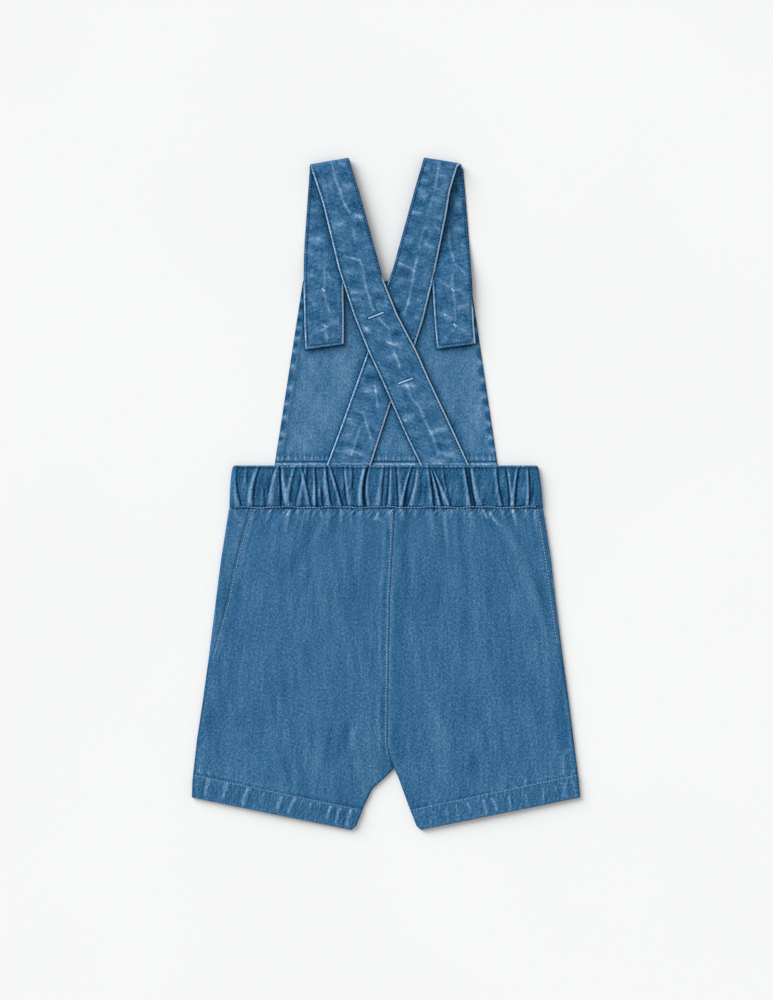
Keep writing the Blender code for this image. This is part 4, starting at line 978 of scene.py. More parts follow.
def front_leg(side):
    """A front leg panel: along the floor, round the side fold and up to the side seam."""
    rows = leg_rows(side, leg_steps(*FRONT_ROWS))
    inward, height, out_along, out_up = leg_columns(rows, False, 54)
    x, y = leg_places(rows, inward)
    over, below = out_up > 0.0, out_up < -0.5
    height = height + arch_rise(rows, inward) * over
    middle = (inward, height, out_along, out_up)
    creases = 0.03 * ripple(x, y, 14.0, 31, 3.0) + 0.4 * ridges(x, y, WAIST_CREASES)
    hem_groove = -0.30 * bell((rows["step"] - 1.0135) / 0.006) * (out_up < -0.99)
    relief = creases * over * edge_fade(rows, inward) + hem_groove
    half = rows["wall"] / 2
    hem = 0.2 * roping(inward, 0.0, 2.0, 17.5, 0.2) * smooth((rows["step"] - 1.0) / 0.01)
    slack = 0.035 * ripple(x, y, 30, 33, 3.0) + 0.02 * ripple(x, y, 6.0, 34, 6.0)
    wear_and_painted_light = crest_wear(relief, 3, 1.3) + slack + hem * below
    face, back = (leg_surface(rows, middle, offset) for offset in (half + relief, -half))
    weave = leg_weave(side, x, y)
    made = add_cloth(f"front_leg_{side}_cloth", face, back, DENIM_BODY, wear_and_painted_light, weave)
    return made, face


# ---------------------------------------------------------------- the waistbands


def gather_relief(x, y):
    """The gathers' relief and their tone.

    Each crest is a bell along a line that bows through its three points and widens towards
    the seam. A sharp fold runs beside it, and its tone is flat-topped: the bell of a square.
    """
    share = np.clip((BAND_TOP_Y - y) / (BAND_TOP_Y - BAND_FOOT_Y), 0.0, 1.0)
    total, tone = np.zeros(x.shape), np.zeros(x.shape)
    for top, middle, foot, start, end, height, width, side, depth in zip(*GATHERS.values()):
        bow = 4.0 * (middle - (top + foot) / 2)
        across = x - (top + (foot - top) * share + bow * share * (1.0 - share))
        active = smooth(1.0 + (share - start) / 0.12) * smooth(1.0 + (end - share) / 0.12)
        wide = width * (0.62 + 0.75 * share)
        fold = bell((across - side * (0.7 + 1.05 * wide)) / (0.55 + 0.35 * depth))
        total += active * (height * bell(across / (1.1 * wide)) - 0.8 * depth * fold)
        # The fold beside each crest is darkened in tone: partly the gather's less faded blue and partly
        # painted shade.
        tone += active * (0.145 * height * bell((across / wide) ** 2) - 0.32 * math.sqrt(depth) * fold)
    return total, tone


def band_relief(x, y):
    """The back waistband's relief and its tone.

    Gathers, with fine crinkles between them, a lumpy rolled top edge with mottled wear, and
    short puckers that run into the seam at its foot.
    """
    strength = read(BAND_PROFILE, "gather", y)
    gathers, tone = gather_relief(x, y)
    broad = ripple(x, y, 12.0, 44, 4.0)
    lively = 0.16 * ripple(x, y, 5.0, 41, 5.0) + 0.12 * ripple(x, y, 2.3, 42, 2.2)
    pitch = 0.35 * np.sin(x / 9.0) + 0.25 * np.sin(x / 23.0 + 1.0) + 0.2 * np.sin(x / 3.7)
    puckers = crests(x / 3.9 + pitch, 2)
    top_edge = 0.32 * puckers * smooth((y - 21.0) / 4.0) * smooth((28.0 - y) / 1.4)
    roll = 0.30 * bell((y - 27.4) / 0.9) * (0.6 + 0.4 * puckers)
    foot = crests(x / 4.3 + pitch + 0.2, 2)
    foot_edge = 0.28 * foot * smooth((-9.0 - y) / 2.5)
    seam_line = -12.4 + 0.5 * np.sin(x / 7.0) + 0.4 * np.sin(x / 3.1 + 1.0)
    foot_groove = -0.35 * bell((y - seam_line) / 0.6)
    relief = strength * (gathers + lively) + top_edge + roll + foot_edge + foot_groove
    tone = strength * tone + 0.05 * broad + 0.22 * bell((y - 28.2) / 0.9) * (0.3 + 0.7 * puckers)
    tone = tone + strength * (0.07 * ripple(x, y, 4.6, 45, 6.0) + 0.05 * ripple(x, y, 2.2, 46, 3.0))
    tone = tone + 0.20 * bell((y - 27.6) / 1.2) * ripple(x, y, 2.6, 47)
    tone = tone - 0.24 * bell((y - 26.2) / 0.8) - 0.18 * bell((y - seam_line) / 0.9)
    return relief, tone


# How many points the back waistband has round each side, and the bend inside it.
BAND_TURN = 15
BAND_INNER_BEND = 0.9


def band_layer(left, x, right, bend, low, high, level):
    """One layer of the back waistband: half an ellipse at each side, and the level cloth between."""
    turn = np.radians(np.linspace(-90.0, 90.0, BAND_TURN))[None, :]
    bend_x = bend * np.cos(turn)
    bend_z = (low + high) / 2 + (high - low) / 2 * np.sin(turn)
    bend_z = np.broadcast_to(bend_z, (len(x), BAND_TURN))
    grid_x = np.concatenate([left - bend_x, x, right + bend_x[:, ::-1]], axis=1)
    grid_z = np.concatenate([bend_z, level, bend_z[:, ::-1]], axis=1)
    return grid_x, grid_z


def back_band():
    """The elastic back waistband: gathered above, plain inside, turned under at its sides."""
    y = np.linspace(BAND_FOOT_Y, BAND_TOP_Y, 60)[:, None]
    height = read(BAND_PROFILE, "height", y)
    left = read(BAND_ENDS, "left", y) + BAND_BEND
    right = read(BAND_ENDS, "right", y) - BAND_BEND
    x = left + (right - left) * np.linspace(0.0, 1.0, 512)[None, 1:-1]
    fade = smooth((x - left + 1.0) / 4.0) * smooth((right - x + 1.0) / 4.0)
    relief, tone = (part * fade for part in band_relief(x, np.broadcast_to(y, x.shape)))
    hollow = np.full(x.shape, BAND_HOLLOW)
    layers = (
        band_layer(left, x, right, BAND_BEND, 0.0, height, height + relief),
        band_layer(left, x, right, BAND_INNER_BEND, FRONT_BAND_WALL, BAND_HOLLOW, hollow),
    )
    face, back = (
        np.stack([grid_x, np.broadcast_to(y, grid_x.shape), grid_z], axis=-1) for grid_x, grid_z in layers
    )
    sides = ((0, 0), (BAND_TURN, BAND_TURN))
    relief, tone = (np.pad(part, sides, mode="edge") for part in (relief, tone))
    wear_and_painted_light = np.clip(tone + crest_wear(relief, 4, 5.0), 0.0, 0.86)
    weave = np.stack([face[..., 1], face[..., 0]], axis=-1)
    return add_cloth("waistband_back_cloth", face, back, DENIM_BAND, wear_and_painted_light, weave), face


def front_band():
    """The plain front waistband, flat on the floor between the back one's turned ends."""
    y = np.linspace(BAND_FOOT_Y, FRONT_BAND_TOP_Y, 48)[:, None]
    left = read(BAND_ENDS, "left", y) + BAND_BEND + GAP
    right = read(BAND_ENDS, "right", y) - BAND_BEND - GAP
    x = left + (right - left) * np.linspace(0.0, 1.0, 220)[None, :]
    y = np.broadcast_to(y, x.shape)
    rim = smooth((0.9 - np.minimum(y - BAND_FOOT_Y, FRONT_BAND_TOP_Y - y)) / 0.9)
    dents = 0.22 * np.clip(ripple(x, y, 8.0, 51, 2.0), 0, None)
    dents = dents + 0.12 * np.clip(ripple(x, y, 3.5, 52), 0, None)
    dents = dents + 0.25 * bell((y + 12.2) / 0.7) + 0.25 * bell((y - 19.2) / 0.7) + 0.35 * rim
    face = np.stack([x, y, dents], axis=-1)
    back = np.stack([x, y, FRONT_BAND_WALL - 0.4 * rim], axis=-1)
    wear_and_painted_light = crest_wear(-dents, 4, 0.9)
    return add_cloth("waistband_front_cloth", face, back, DENIM_BAND, wear_and_painted_light), face


# ---------------------------------------------------------------- the bib


def bib_lift(x, y):
    """Height of the bib's underside: raised by each button, level to 10 mm and down at 30 mm."""
    lift = np.zeros(np.broadcast(x, y).shape)
    for button_x, button_y in BUTTONS:
        away = np.hypot(x - button_x, y - button_y)
        lift = np.maximum(lift, (BUTTON_THICK + GAP) * smooth((30.0 - away) / 20.0))
    return lift


def rounded(edge):
    """How full a wall is by distance from its edge: 0.45 of it at the edge, all of it 1.3 mm in."""
    return 0.45 + 0.55 * smooth(edge / 1.3) ** 0.5


def hem_wall(edge, hem, end):
    """A turned hem's wall by distance from its edge and from the edge at its end: two layers, then one."""
    layers = BIB_WALL + (BIB_HEM_WALL - BIB_WALL) * smooth((hem - edge) / 1.6)
    return layers * rounded(edge) * rounded(end)


def bib_marks(marks, y, side_edge):
    """A side hem's puckers: a pale crest at each mark, fading inwards, and a dark hollow between two."""
    crest, hollow = np.zeros(side_edge.shape), np.zeros(side_edge.shape)
    for number, mark in enumerate(marks):
        reach = 5.2 + 1.4 * math.sin(2.1 * number)
        lean = 0.25 * side_edge * math.sin(1.7 * number + 0.5)
        crest += bell((y - mark - lean) / (2.0 + 0.22 * side_edge)) * smooth((reach + 3.0 - side_edge) / 5.0)
    for number, (above, under) in enumerate(zip(marks[:-1], marks[1:])):
        tall = 0.30 * (above - under)
        across = 3.0 + 0.8 * math.sin(3.1 * number)
        hollow += bell((y - (above + under) / 2) / tall) * bell((side_edge - across) / 2.3)
    return crest, hollow


def bib_grid():
    """The bib's rows from foot to top, with columns closest together at its sides.

    Returns x and y, and each point's distance from the nearer side and from the top edge.
    """
    y = np.linspace(BIB_FOOT_Y, BIB_TOP_Y, 150)[:, None]
    share = (y - BIB_FOOT_Y) / (BIB_TOP_Y - BIB_FOOT_Y)
    left, right = (foot + (top - foot) * share for foot, top in BIB_SIDES)
    half = (right - left) / 2
    near = np.broadcast_to([0.0, 0.4, 0.9, 1.5], (len(y), 4))
    offset = np.concatenate([near, 2.2 + (half - 2.2) * np.linspace(0.0, 1.0, 74)[None, :]], axis=1)
    x = np.concatenate([left + offset, (right - offset)[:, -2::-1]], axis=1)
    y = np.broadcast_to(y, x.shape)
    return x, y, np.minimum(x - left, right - x), BIB_TOP_Y - y


def bib_cloth():
    """The bib: one layer whose sides and top edge are turned and sewn, puckered along the sides.

    Its foot is gathered a little where it is joined, and it is painted darker, as painted shade, where
    straps lie on it.
    Underneath, a dark slit is painted where each button goes through, as painted shade of the opening.
    """
    x, y, side_edge, top_edge = bib_grid()
    side_wall = hem_wall(side_edge, BIB_SIDE_HEM, top_edge)
    top_wall = hem_wall(top_edge, BIB_TOP_HEM, side_edge)
    wall = np.maximum(side_wall, top_wall)
    lift = bib_lift(x, y)

    on_left, on_right = (bib_marks(BIB_MARKS[side], y, side_edge) for side in ("left", "right"))
    crest, hollow = (np.where(x < 0, *pair) for pair in zip(on_left, on_right))
    pucker = (0.22 * crest - 0.14 * hollow) * smooth(side_edge / 0.8)
    top_pucker = 0.22 * crests(x / 7.1 + 0.5 * np.sin(x / 17.0), 2)
    top_pucker = top_pucker * smooth((10.0 - top_edge) / 3.0) * smooth(top_edge)
    seams = -0.03 * bell((side_edge - BIB_SIDE_SEAM) / 0.7) - 0.30 * bell((top_edge - BIB_TOP_SEAM) / 0.7)
    foot = crests(x / 4.9 + 0.4 * np.sin(x / 11.0) + 0.2 * np.sin(x / 4.3), 2)
    joined = 0.30 * foot * bell((y - 35.6) / 2.8) - 0.55 * bell((y - 32.2) / 0.9)
    joined = joined + 0.2 * bell((y - 29.8) / 1.3)
    slack = 0.28 * ripple(x, y, 38, 61, 1.5) + 0.07 * ripple(x, y, 9, 62, 1.5)
    slack = slack * smooth(side_edge / 12.0)
    relief = np.clip(pucker + top_pucker + seams + joined + slack, -0.55, None)
    face = np.stack([x, y, lift + wall + relief], axis=-1)

    under = 0.5 * np.clip(pucker + top_pucker, 0.0, None) + 0.2 * bell((side_edge - BIB_SIDE_SEAM) / 0.7)
    under = under + 0.25 * bell((top_edge - BIB_TOP_SEAM) / 0.7) + 0.12 * np.clip(slack, 0, None)
    back = np.stack([x, y, lift + np.minimum(under, 0.4 * wall)], axis=-1)

    wear_and_painted_light = crest_wear(relief, 3, 2.0) + 0.12 * crest - 0.22 * hollow
    wear_and_painted_light = wear_and_painted_light - 0.24 * bell((side_edge - 0.5) / 0.9) * (1.0 - 0.5 * crest)
    tufts = 0.6 + 0.4 * ripple(x, y, 3.4, 63)
    wear_and_painted_light = wear_and_painted_light + 0.16 * foot * bell((y - 35.2) / 2.4) - 0.15 * (1.0 - foot) * bell((y - 38.5) / 3.2)
    wear_and_painted_light = wear_and_painted_light + 0.36 * tufts * bell((y - 29.9) / 1.1) - 0.20 * bell((y - 32.2) / 0.8)
    # Painted shade beside and under the straps that lie on the bib.
    wear_and_painted_light = wear_and_painted_light - painted_strap_shade(x, y, [*STRAP_RUN.values(), *STRAP_END.values()])
    under_wear_and_slit_shade = crest_wear(-under, 4, 1.2) + 0.12 * bell((side_edge - 0.6) / 0.9)
    # Painted shade: a dark slit on the underside along each buttonhole.
    for button_x, button_y in BUTTONS:
        slit = bell(y - button_y) * smooth(BUTTONHOLE_LENGTH / 2 + 0.5 - np.abs(x - button_x))
        under_wear_and_slit_shade = under_wear_and_slit_shade - 0.6 * slit
    weave = np.stack([x, y], axis=-1)
    made = add_cloth("bib_cloth", face, back, DENIM_BIB, np.stack([wear_and_painted_light, under_wear_and_slit_shade]), weave)
    return made, face, back


# ---------------------------------------------------------------- the straps


# Half the size of the square of millimetre cells that holds the garment.
CELLS_ACROSS, CELLS_UP = 240, 380


def highest_near(grids, x, y, near=STRAP_REACH):
    """The highest point of some cloth near each spot, or 0 over bare floor.

    The cloth's points are dropped into cells of a millimetre, which keep their highest,
    and each cell then takes the highest within a reach, across and along.
    """
    cells = np.zeros((2 * CELLS_UP, 2 * CELLS_ACROSS))
    for grid in grids:
        column = np.rint(grid[..., 0] + CELLS_ACROSS).astype(int).ravel()
        row = np.rint(grid[..., 1] + CELLS_UP).astype(int).ravel()
        np.maximum.at(cells, (row, column), grid[..., 2].ravel())
    for axis, reach in ((1, near[0]), (0, near[1])):
        cells = np.max([np.roll(cells, step, axis=axis) for step in range(-reach, reach + 1)], axis=0)
    return cells[np.rint(y + CELLS_UP).astype(int), np.rint(x + CELLS_ACROSS).astype(int)]


def strap_middle(rows, count, columns):
    """A strap's middle surface: evenly spaced stations between its edges, at its table's lift.

    Its edges are rolled EDGE_ROLL out from the lines in the table.
    """
    middle_x, middle_y = ((rows[f"left_{axis}"] + rows[f"right_{axis}"]) / 2 for axis in "xy")
    length = np.concatenate([[0.0], np.cumsum(np.hypot(np.diff(middle_x), np.diff(middle_y)))])
    at = np.linspace(0.0, length[-1], count)
    left_x, left_y, right_x, right_y, lift = (
        np.interp(at, length, rows[name])[:, None] for name in "left_x left_y right_x right_y lift".split()
    )
    wide = np.hypot(right_x - left_x, right_y - left_y)
    share = 0.5 + (columns[None, :] - 0.5) * (1.0 + 2.0 * EDGE_ROLL / wide)
    x = left_x + (right_x - left_x) * share
    y = left_y + (right_y - left_y) * share
    return np.stack([x, y, np.broadcast_to(lift, x.shape)], axis=-1)


def moved_in(rows, end, distance):
    """A strap's table with its row at the fold moved back to the fold's axis, and the way out of it."""
    rows = {name: values.copy() for name, values in rows.items()}
    across_x = rows["right_x"][end] - rows["left_x"][end]
    across_y = rows["right_y"][end] - rows["left_y"][end]
    width = math.hypot(across_x, across_y)
    out = np.array([-across_y, across_x]) / width
    for edge in ("left", "right"):
        rows[f"{edge}_x"][end] -= out[0] * distance
        rows[f"{edge}_y"][end] -= out[1] * distance
    return rows, out


def blur_along(field, reach):
    """A grid smoothed down its rows by two moving averages of 2 reach + 1 stations."""
    for _ in range(2):
        wide = np.pad(field, [(reach + 1, reach), (0, 0)], mode="edge")
        total = np.cumsum(wide, axis=0)
        field = (total[2 * reach + 1:] - total[:-2 * reach - 1]) / (2 * reach + 1)
    return field


def cloth_beside(grids, middle):
    """For a strap's two long edges, 1 where cloth lies 3 mm beyond them and 0 over bare floor."""
    across = unit(middle[:, -1, :2] - middle[:, 0, :2])
    beside = []
    for spots in (middle[:, 0, :2] - 3.0 * across, middle[:, -1, :2] + 3.0 * across):
        found = highest_near(grids, spots[:, 0], spots[:, 1], (1, 1)) > 0.0
        beside.append(blur_along(found[:, None].astype(float), 3))
    return beside


def painted_strap_shade(x, y, tables):
    """Painted shade where straps lie on the cloth: darker blue in a bell near their edges, and a wide
    fainter one, standing for the shadow beside and under them.
    """
    nearest = np.full(np.broadcast(x, y).shape, math.inf)
    for rows in tables:
        lines = [np.stack([rows[f"{edge}_x"], rows[f"{edge}_y"]], axis=-1) for edge in ("left", "right")]
        lines.append(np.stack([line[-1] for line in lines]))
        for line in lines:
            for first, last in zip(line[:-1], line[1:]):
                run = last - first
                share = np.clip(((x - first[0]) * run[0] + (y - first[1]) * run[1]) / (run @ run), 0.0, 1.0)
                away = np.hypot(x - first[0] - share * run[0], y - first[1] - share * run[1])
                nearest = np.minimum(nearest, away)
    return 0.34 * bell(nearest / 1.6) + 0.15 * bell(nearest / 5.5)


# A strap's crease narrower than this is a thin line, and the others are soft patches.
THIN_CREASE = 1.5


def thin_and_soft(x, y, rows):
    """A table's ridges in two sums: its thin creases, and its broad patches, each with a narrow core."""
    thin = rows["width"] < THIN_CREASE
    lines, patches = ({name: values[part] for name, values in rows.items()} for part in (thin, ~thin))
    cores = dict(patches, width=0.30 * patches["width"])
    return ridges(x, y, lines), 0.60 * ridges(x, y, patches) + 0.38 * ridges(x, y, cores)


def strap_relief(side, along, edge, width, x, y, run, beside):
    """A strap's relief by distance along it and in from its edges, and the wear, painted light and painted
    shade that it carries.

    A puffed edge, a sewn groove with puckers on both sides of it, and the creases of the run
    or of the end: thin ones along the strap and soft patches across it. An edge that lies on
    cloth is rubbed pale, the right one paler still with painted light where the light leaves
    it in shade, and an edge over bare floor is painted dark as painted shade.
    """
    seed = 71 if side == "left" else 81
    to_end = along[-1] - along
    side_edge = np.minimum(edge, width - edge)
    inside = np.minimum(side_edge, to_end)
    first_edge = edge < width / 2
    puff = 0.12 * bell((inside - 1.5) / 0.9)
    groove = -0.16 * bell((inside - STRAP_SEAM) / 0.6)
    hand = np.where(first_edge, 0.0, 1.3)
    beat = along / 6.1 + 0.4 * np.sin(along / 15.0 + hand) + 0.2 * np.sin(along / 6.1 + 2.0 * hand)
    pucker = 0.12 * crests(beat, 2) * bell((inside - 3.4) / 2.0)
    creases = zip(thin_and_soft(x, y, STRAP_CREASES[side]), thin_and_soft(x, y, END_CREASES[side]))
    thin, soft = (np.where(run, on_run, on_end) for on_run, on_end in creases)
    slack = ripple(edge, along, 16.0, seed, 0.8)
    patches = ripple(edge, along, 7.0, seed + 5, 0.6)
    relief = puff + groove + pucker + 0.60 * thin + 0.45 * soft + 0.08 * slack + 0.02 * patches

    short_end = to_end < side_edge
    edge_over_cloth = np.where(short_end, 1.0, np.where(first_edge, beside[0], beside[1]))
    # The far edge is paler still with painted light, lifting the side that the light leaves in shade; an
    # edge over bare floor is painted dark, as painted shade.
    far_edge_painted_light = (edge > width / 2) & ~short_end
    wear_and_painted_light = (0.47 + 0.36 * far_edge_painted_light) * edge_over_cloth * bell((inside - 0.6) / (0.56 + 0.26 * far_edge_painted_light))
    wear_and_painted_light = wear_and_painted_light - 0.26 * (1.0 - edge_over_cloth) * bell((inside - 0.55) / 0.56)
    wear_and_painted_light = wear_and_painted_light - 0.05 * bell((inside - STRAP_SEAM) / 0.8)
    wear_and_painted_light = wear_and_painted_light + 0.42 * thin + 0.60 * soft + 0.05 * patches + 0.03 * slack
    wear_and_painted_light = wear_and_painted_light + run * (0.32 * bell((y - 29.9) / 0.8) - 0.30 * bell((y - 28.3) / 0.7))
    return relief * smooth(inside / 0.9), wear_and_painted_light


# Stations along a strap's run and its end, and across its fold.
RUN_ROWS, END_ROWS, FOLD_ROWS = 270, 158, 15


def strap_columns():
    """A strap's columns as shares of its width, closest together at its edges."""
    near = np.array(STRAP_NEAR) / STRAP_WIDTH
    return np.concatenate([near[:-1], np.linspace(near[-1], 1.0 - near[-1], 37), 1.0 - near[-2::-1]])


def strap_path(side, below, columns):
    """A strap's middle surface: its run and its end, each clear of the cloth below, and its fold.

    The end rises to the fold no more steeply than STRAP_RAMP, and the fold is half a circle.
    Returns the run, the fold and the end.
    """
    half = STRAP_WALL / 2
    run_rows, end_rows = STRAP_RUN[side], STRAP_END[side]
    low = end_rows["lift"][0]
    radius = (run_rows["lift"][-1] - low) / 2
    run_rows, out = moved_in(run_rows, -1, radius + half)
    end_rows, _ = moved_in(end_rows, 0, radius + half)
    run = strap_middle(run_rows, RUN_ROWS, columns)
    end = strap_middle(end_rows, END_ROWS, columns)
    for grid, reach in ((run, 5), (end, 4)):
        under = highest_near(below, grid[..., 0], grid[..., 1])
        clear = np.where(under > 0.0, under + GAP + half + 0.05, 0.0)
        grid[..., 2] = np.maximum(grid[..., 2], clear)
        grid[..., 2] = np.maximum(blur_along(grid[..., 2], reach), half)
    for order in (range(1, END_ROWS), range(END_ROWS - 2, -1, -1)):
        for number in order:
            before = number - order.step
            step = np.linalg.norm(end[number, :, :2] - end[before, :, :2], axis=-1)
            end[number, :, 2] = np.maximum(end[number, :, 2], end[before, :, 2] - STRAP_RAMP * step)
    end[0, :, 2] = low
    run[-1, :, 2] = low + 2 * radius
    turn = np.linspace(math.pi / 2, -math.pi / 2, FOLD_ROWS + 2)[1:-1]
    share = (np.arange(1, FOLD_ROWS + 1) / (FOLD_ROWS + 1))[:, None, None]
    fold = run[-1][None] * (1 - share) + end[0][None] * share
    fold[:, :, :2] += (radius * np.cos(turn))[:, None, None] * out[None, None, :]
    fold[:, :, 2] = (low + radius + radius * np.sin(turn))[:, None]
    return run, fold, end


def strap_cloth(side, below, covers):
    """A strap: up from under the waistband, over its fold and down to its end on the bib.

    below are the grids of the cloth that it lies on, and covers the tables of the straps that
    lie over its run. Returns the piece, and its outer and inner grids.
    """
    columns = strap_columns()
    run, fold, end = strap_path(side, below, columns)
    middle = np.concatenate([run, fold, end])
    middle[:, :, 0] = blur_along(middle[:, :, 0], 2)
    normal = outward(middle)
    if normal[0, 0, 2] < 0:
        normal = -normal
    steps = np.linalg.norm(np.diff(middle, axis=0), axis=-1).mean(axis=1)
    along = np.concatenate([[0.0], np.cumsum(steps)])[:, None]
    width = np.linalg.norm(middle[:, -1] - middle[:, 0], axis=-1)[:, None]
    edge = width * columns[None, :]
    inside = np.minimum(np.minimum(edge, width - edge), along[-1] - along)
    thickness = STRAP_WALL / 2 * (0.18 + 0.82 * np.sqrt(smooth(inside / 1.5)))
    x, y = middle[..., 0], middle[..., 1]
    fold_row = RUN_ROWS + (FOLD_ROWS + 1) // 2
    run_part = (np.arange(len(middle)) < fold_row)[:, None]
    beside = [
        np.concatenate([on_run, np.repeat(on_run[-1:], FOLD_ROWS, axis=0), on_end])
        for on_run, on_end in zip(cloth_beside(below + [end], run), cloth_beside(below, end))
    ]
    relief, wear_and_painted_light = strap_relief(side, along, edge, width, x, y, run_part, beside)
    # Painted shade: the strap is darkened across the crown of its fold.
    wear_and_painted_light = wear_and_painted_light - 0.22 * bell((along - along[fold_row]) / 2.2)
    # Painted shade where the other strap's run lies over this run, and where the run lies over its own end.
    wear_and_painted_light = wear_and_painted_light - np.where(run_part, painted_strap_shade(x, y, covers), painted_strap_shade(x, y, [STRAP_RUN[side]]))
    worn_and_painted_light = crest_wear(relief, 4, 3.0) + wear_and_painted_light
    swell = normal * (thickness + relief)[..., None]
    outer, inner = middle + swell, middle - swell
    for grid in (outer, inner):
        grid[..., 2] = np.maximum(grid[..., 2], 0.0)
    weave = np.stack([edge, np.broadcast_to(along, edge.shape)], axis=-1)
    made = add_cloth(f"strap_{side}_cloth", outer, inner, DENIM_STRAP, np.stack([worn_and_painted_light, worn_and_painted_light]), weave)
    return made, outer, inner


# ---------------------------------------------------------------- sewing

UP, DOWN = (0.0, 0.0, 1.0), (0.0, 0.0, -1.0)

# A worked bar's threads: how far apart they lie, and how far each leans along the bar.
TACK_STEP = 0.55
TACK_LEAN = 0.25


def at_spots(grid, rows, columns):
    """A grid's points at fractional rows and columns, each read between its four neighbours."""
    rows = np.clip(rows, 0.0, grid.shape[0] - 1.001)
    columns = np.clip(columns, 0.0, grid.shape[1] - 1.001)
    row, column = rows.astype(int), columns.astype(int)
    down, right = (rows - row)[:, None], (columns - column)[:, None]
    upper = grid[row, column] * (1 - right) + grid[row, column + 1] * right
    lower = grid[row + 1, column] * (1 - right) + grid[row + 1, column + 1] * right
    return upper * (1 - down) + lower * down


def line_on(grid, rows, columns, outside):
    """A line's points and outward directions on a grid; outside points out of the cloth."""
    rows, columns = np.broadcast_arrays(np.asarray(rows, float), np.asarray(columns, float))
    normal = unit(at_spots(outward(grid), rows, columns))
    if (normal @ np.array(outside)).sum() < 0:
        normal = -normal
    return at_spots(grid, rows, columns), normal


def sewn(line, length, gap):
    """The stitches of one line: the two ends of each, and its outward direction."""
    points, normals = line
    reach = np.concatenate([[0.0], np.cumsum(np.linalg.norm(np.diff(points, axis=0), axis=-1))])
    centre = np.arange(length / 2, reach[-1] - length / 2, length + gap)

    def read_at(distance, values):
        """The line's values at some distances along it."""
        return np.stack([np.interp(distance, reach, values[:, axis]) for axis in range(3)], axis=-1)

    first, last = read_at(centre - length / 2, points), read_at(centre + length / 2, points)
    return first, last, read_at(centre, normals)


def add_stitches(name, runs, thick, colour, sides=6, t=(-0.95, -0.6, 0.0, 0.6, 0.95)):
    """Stitches as one mesh: each a roll with 4 or 6 sides, blunt at its ends, proud in its middle.

    A ring's radius is thick times the root of 1 less t squared, t running from one end to the
    other, and its middle stands 0.55 thick above the cloth less 0.7 thick times t squared.
    None goes below the floor.
    """
    first, last, up = (np.concatenate(parts) for parts in zip(*runs))
    along = last - first
    aside = unit(np.cross(up, along))
    up = unit(np.cross(along, aside))
    t = np.array(t)
    round_it = np.arange(sides) * 2 * math.pi / sides
    radius = thick * np.sqrt(1 - t**2)
    stand = thick * (0.55 - 0.7 * t**2)
    placed = ((first + last) / 2, along / 2, up, aside)
    middle, reach, rise, spread = (part[:, None, None, :] for part in placed)
    high = stand[:, None] + radius[:, None] * np.sin(round_it)
    wide = radius[:, None] * np.cos(round_it)
    rings = middle + reach * t[:, None, None] + rise * high[..., None] + spread * wide[..., None]
    rings[..., 2] = np.maximum(rings[..., 2], 0.0)
    ring, side = np.meshgrid(np.arange(len(t) - 1) * sides, np.arange(sides), indexing="ij")
    after = (side + 1) % sides
    walls = np.stack([ring + side, ring + after, ring + sides + after, ring + sides + side], axis=-1)
    foot = np.array([[0, 5, 4, 3], [0, 3, 2, 1]]) if sides == 6 else np.array([[0, 3, 2, 1]])
    shape = np.concatenate([walls.reshape(-1, 4), foot, foot[:, ::-1] + sides * (len(t) - 1)])
    faces = (shape[None] + sides * len(t) * np.arange(len(first))[:, None, None]).reshape(-1, 4)
    points = rings.reshape(-1, 3)
    return add_mesh(name, points, facing_out(points, faces), [colour])


# The straps' folds lie above a line that falls away to both sides.
FOLD_LINE_Y = 339.0
FOLD_LINE_FALL = 0.17


def add_hole_shade_marks(name, runs, size, thick):
    """Painted shade at the needle holes between stitches: a short dark mark midway between each two, none on
    a fold.
    """
    marks = []
    for first, last, up in runs:
        middle = (last[:-1] + first[1:]) / 2
        reach = unit(first[1:] - last[:-1]) * size
        keep = middle[:, 1] + FOLD_LINE_FALL * np.abs(middle[:, 0]) < FOLD_LINE_Y
        marks.append(((middle - reach)[keep], (middle + reach)[keep], up[:-1][keep]))
    return add_stitches(name, marks, thick, HOLE_SHADE_DARK, 4, (-0.8, 0.0, 0.8))


def columns_at(inward, distance):
    """For each row of a panel, the column that lies at a distance in from its side."""
    numbers = np.arange(inward.shape[1])
    distance = np.broadcast_to(distance, len(inward))
    return np.array([np.interp(at, row, numbers) for at, row in zip(distance, inward)])


def bar_tack(grid, first, last, wide):
    """A worked bar between two spots: short threads laid side by side across it."""
    run = np.array(last) - np.array(first)
    length = math.hypot(*run)
    share = np.linspace(0.0, 1.0, int(length / TACK_STEP))[:, None]
    middle = np.array(first) * (1 - share) + np.array(last) * share
    flat = grid.reshape(-1, 3)
    near = np.argmin(np.hypot(*(flat[:, None, :2] - middle[None]).transpose(2, 0, 1)), axis=0)
    middle = np.concatenate([middle, blur(flat[near, 2][:, None], 2)], axis=1)
    run = run / length
    reach = np.array([-run[1], run[0], 0.0]) * wide / 2 + np.array([run[0], run[1], 0.0]) * TACK_LEAN
    return middle - reach, middle + reach, np.broadcast_to(np.array(UP), middle.shape)


# ---------------------------------------------------------------- finishes


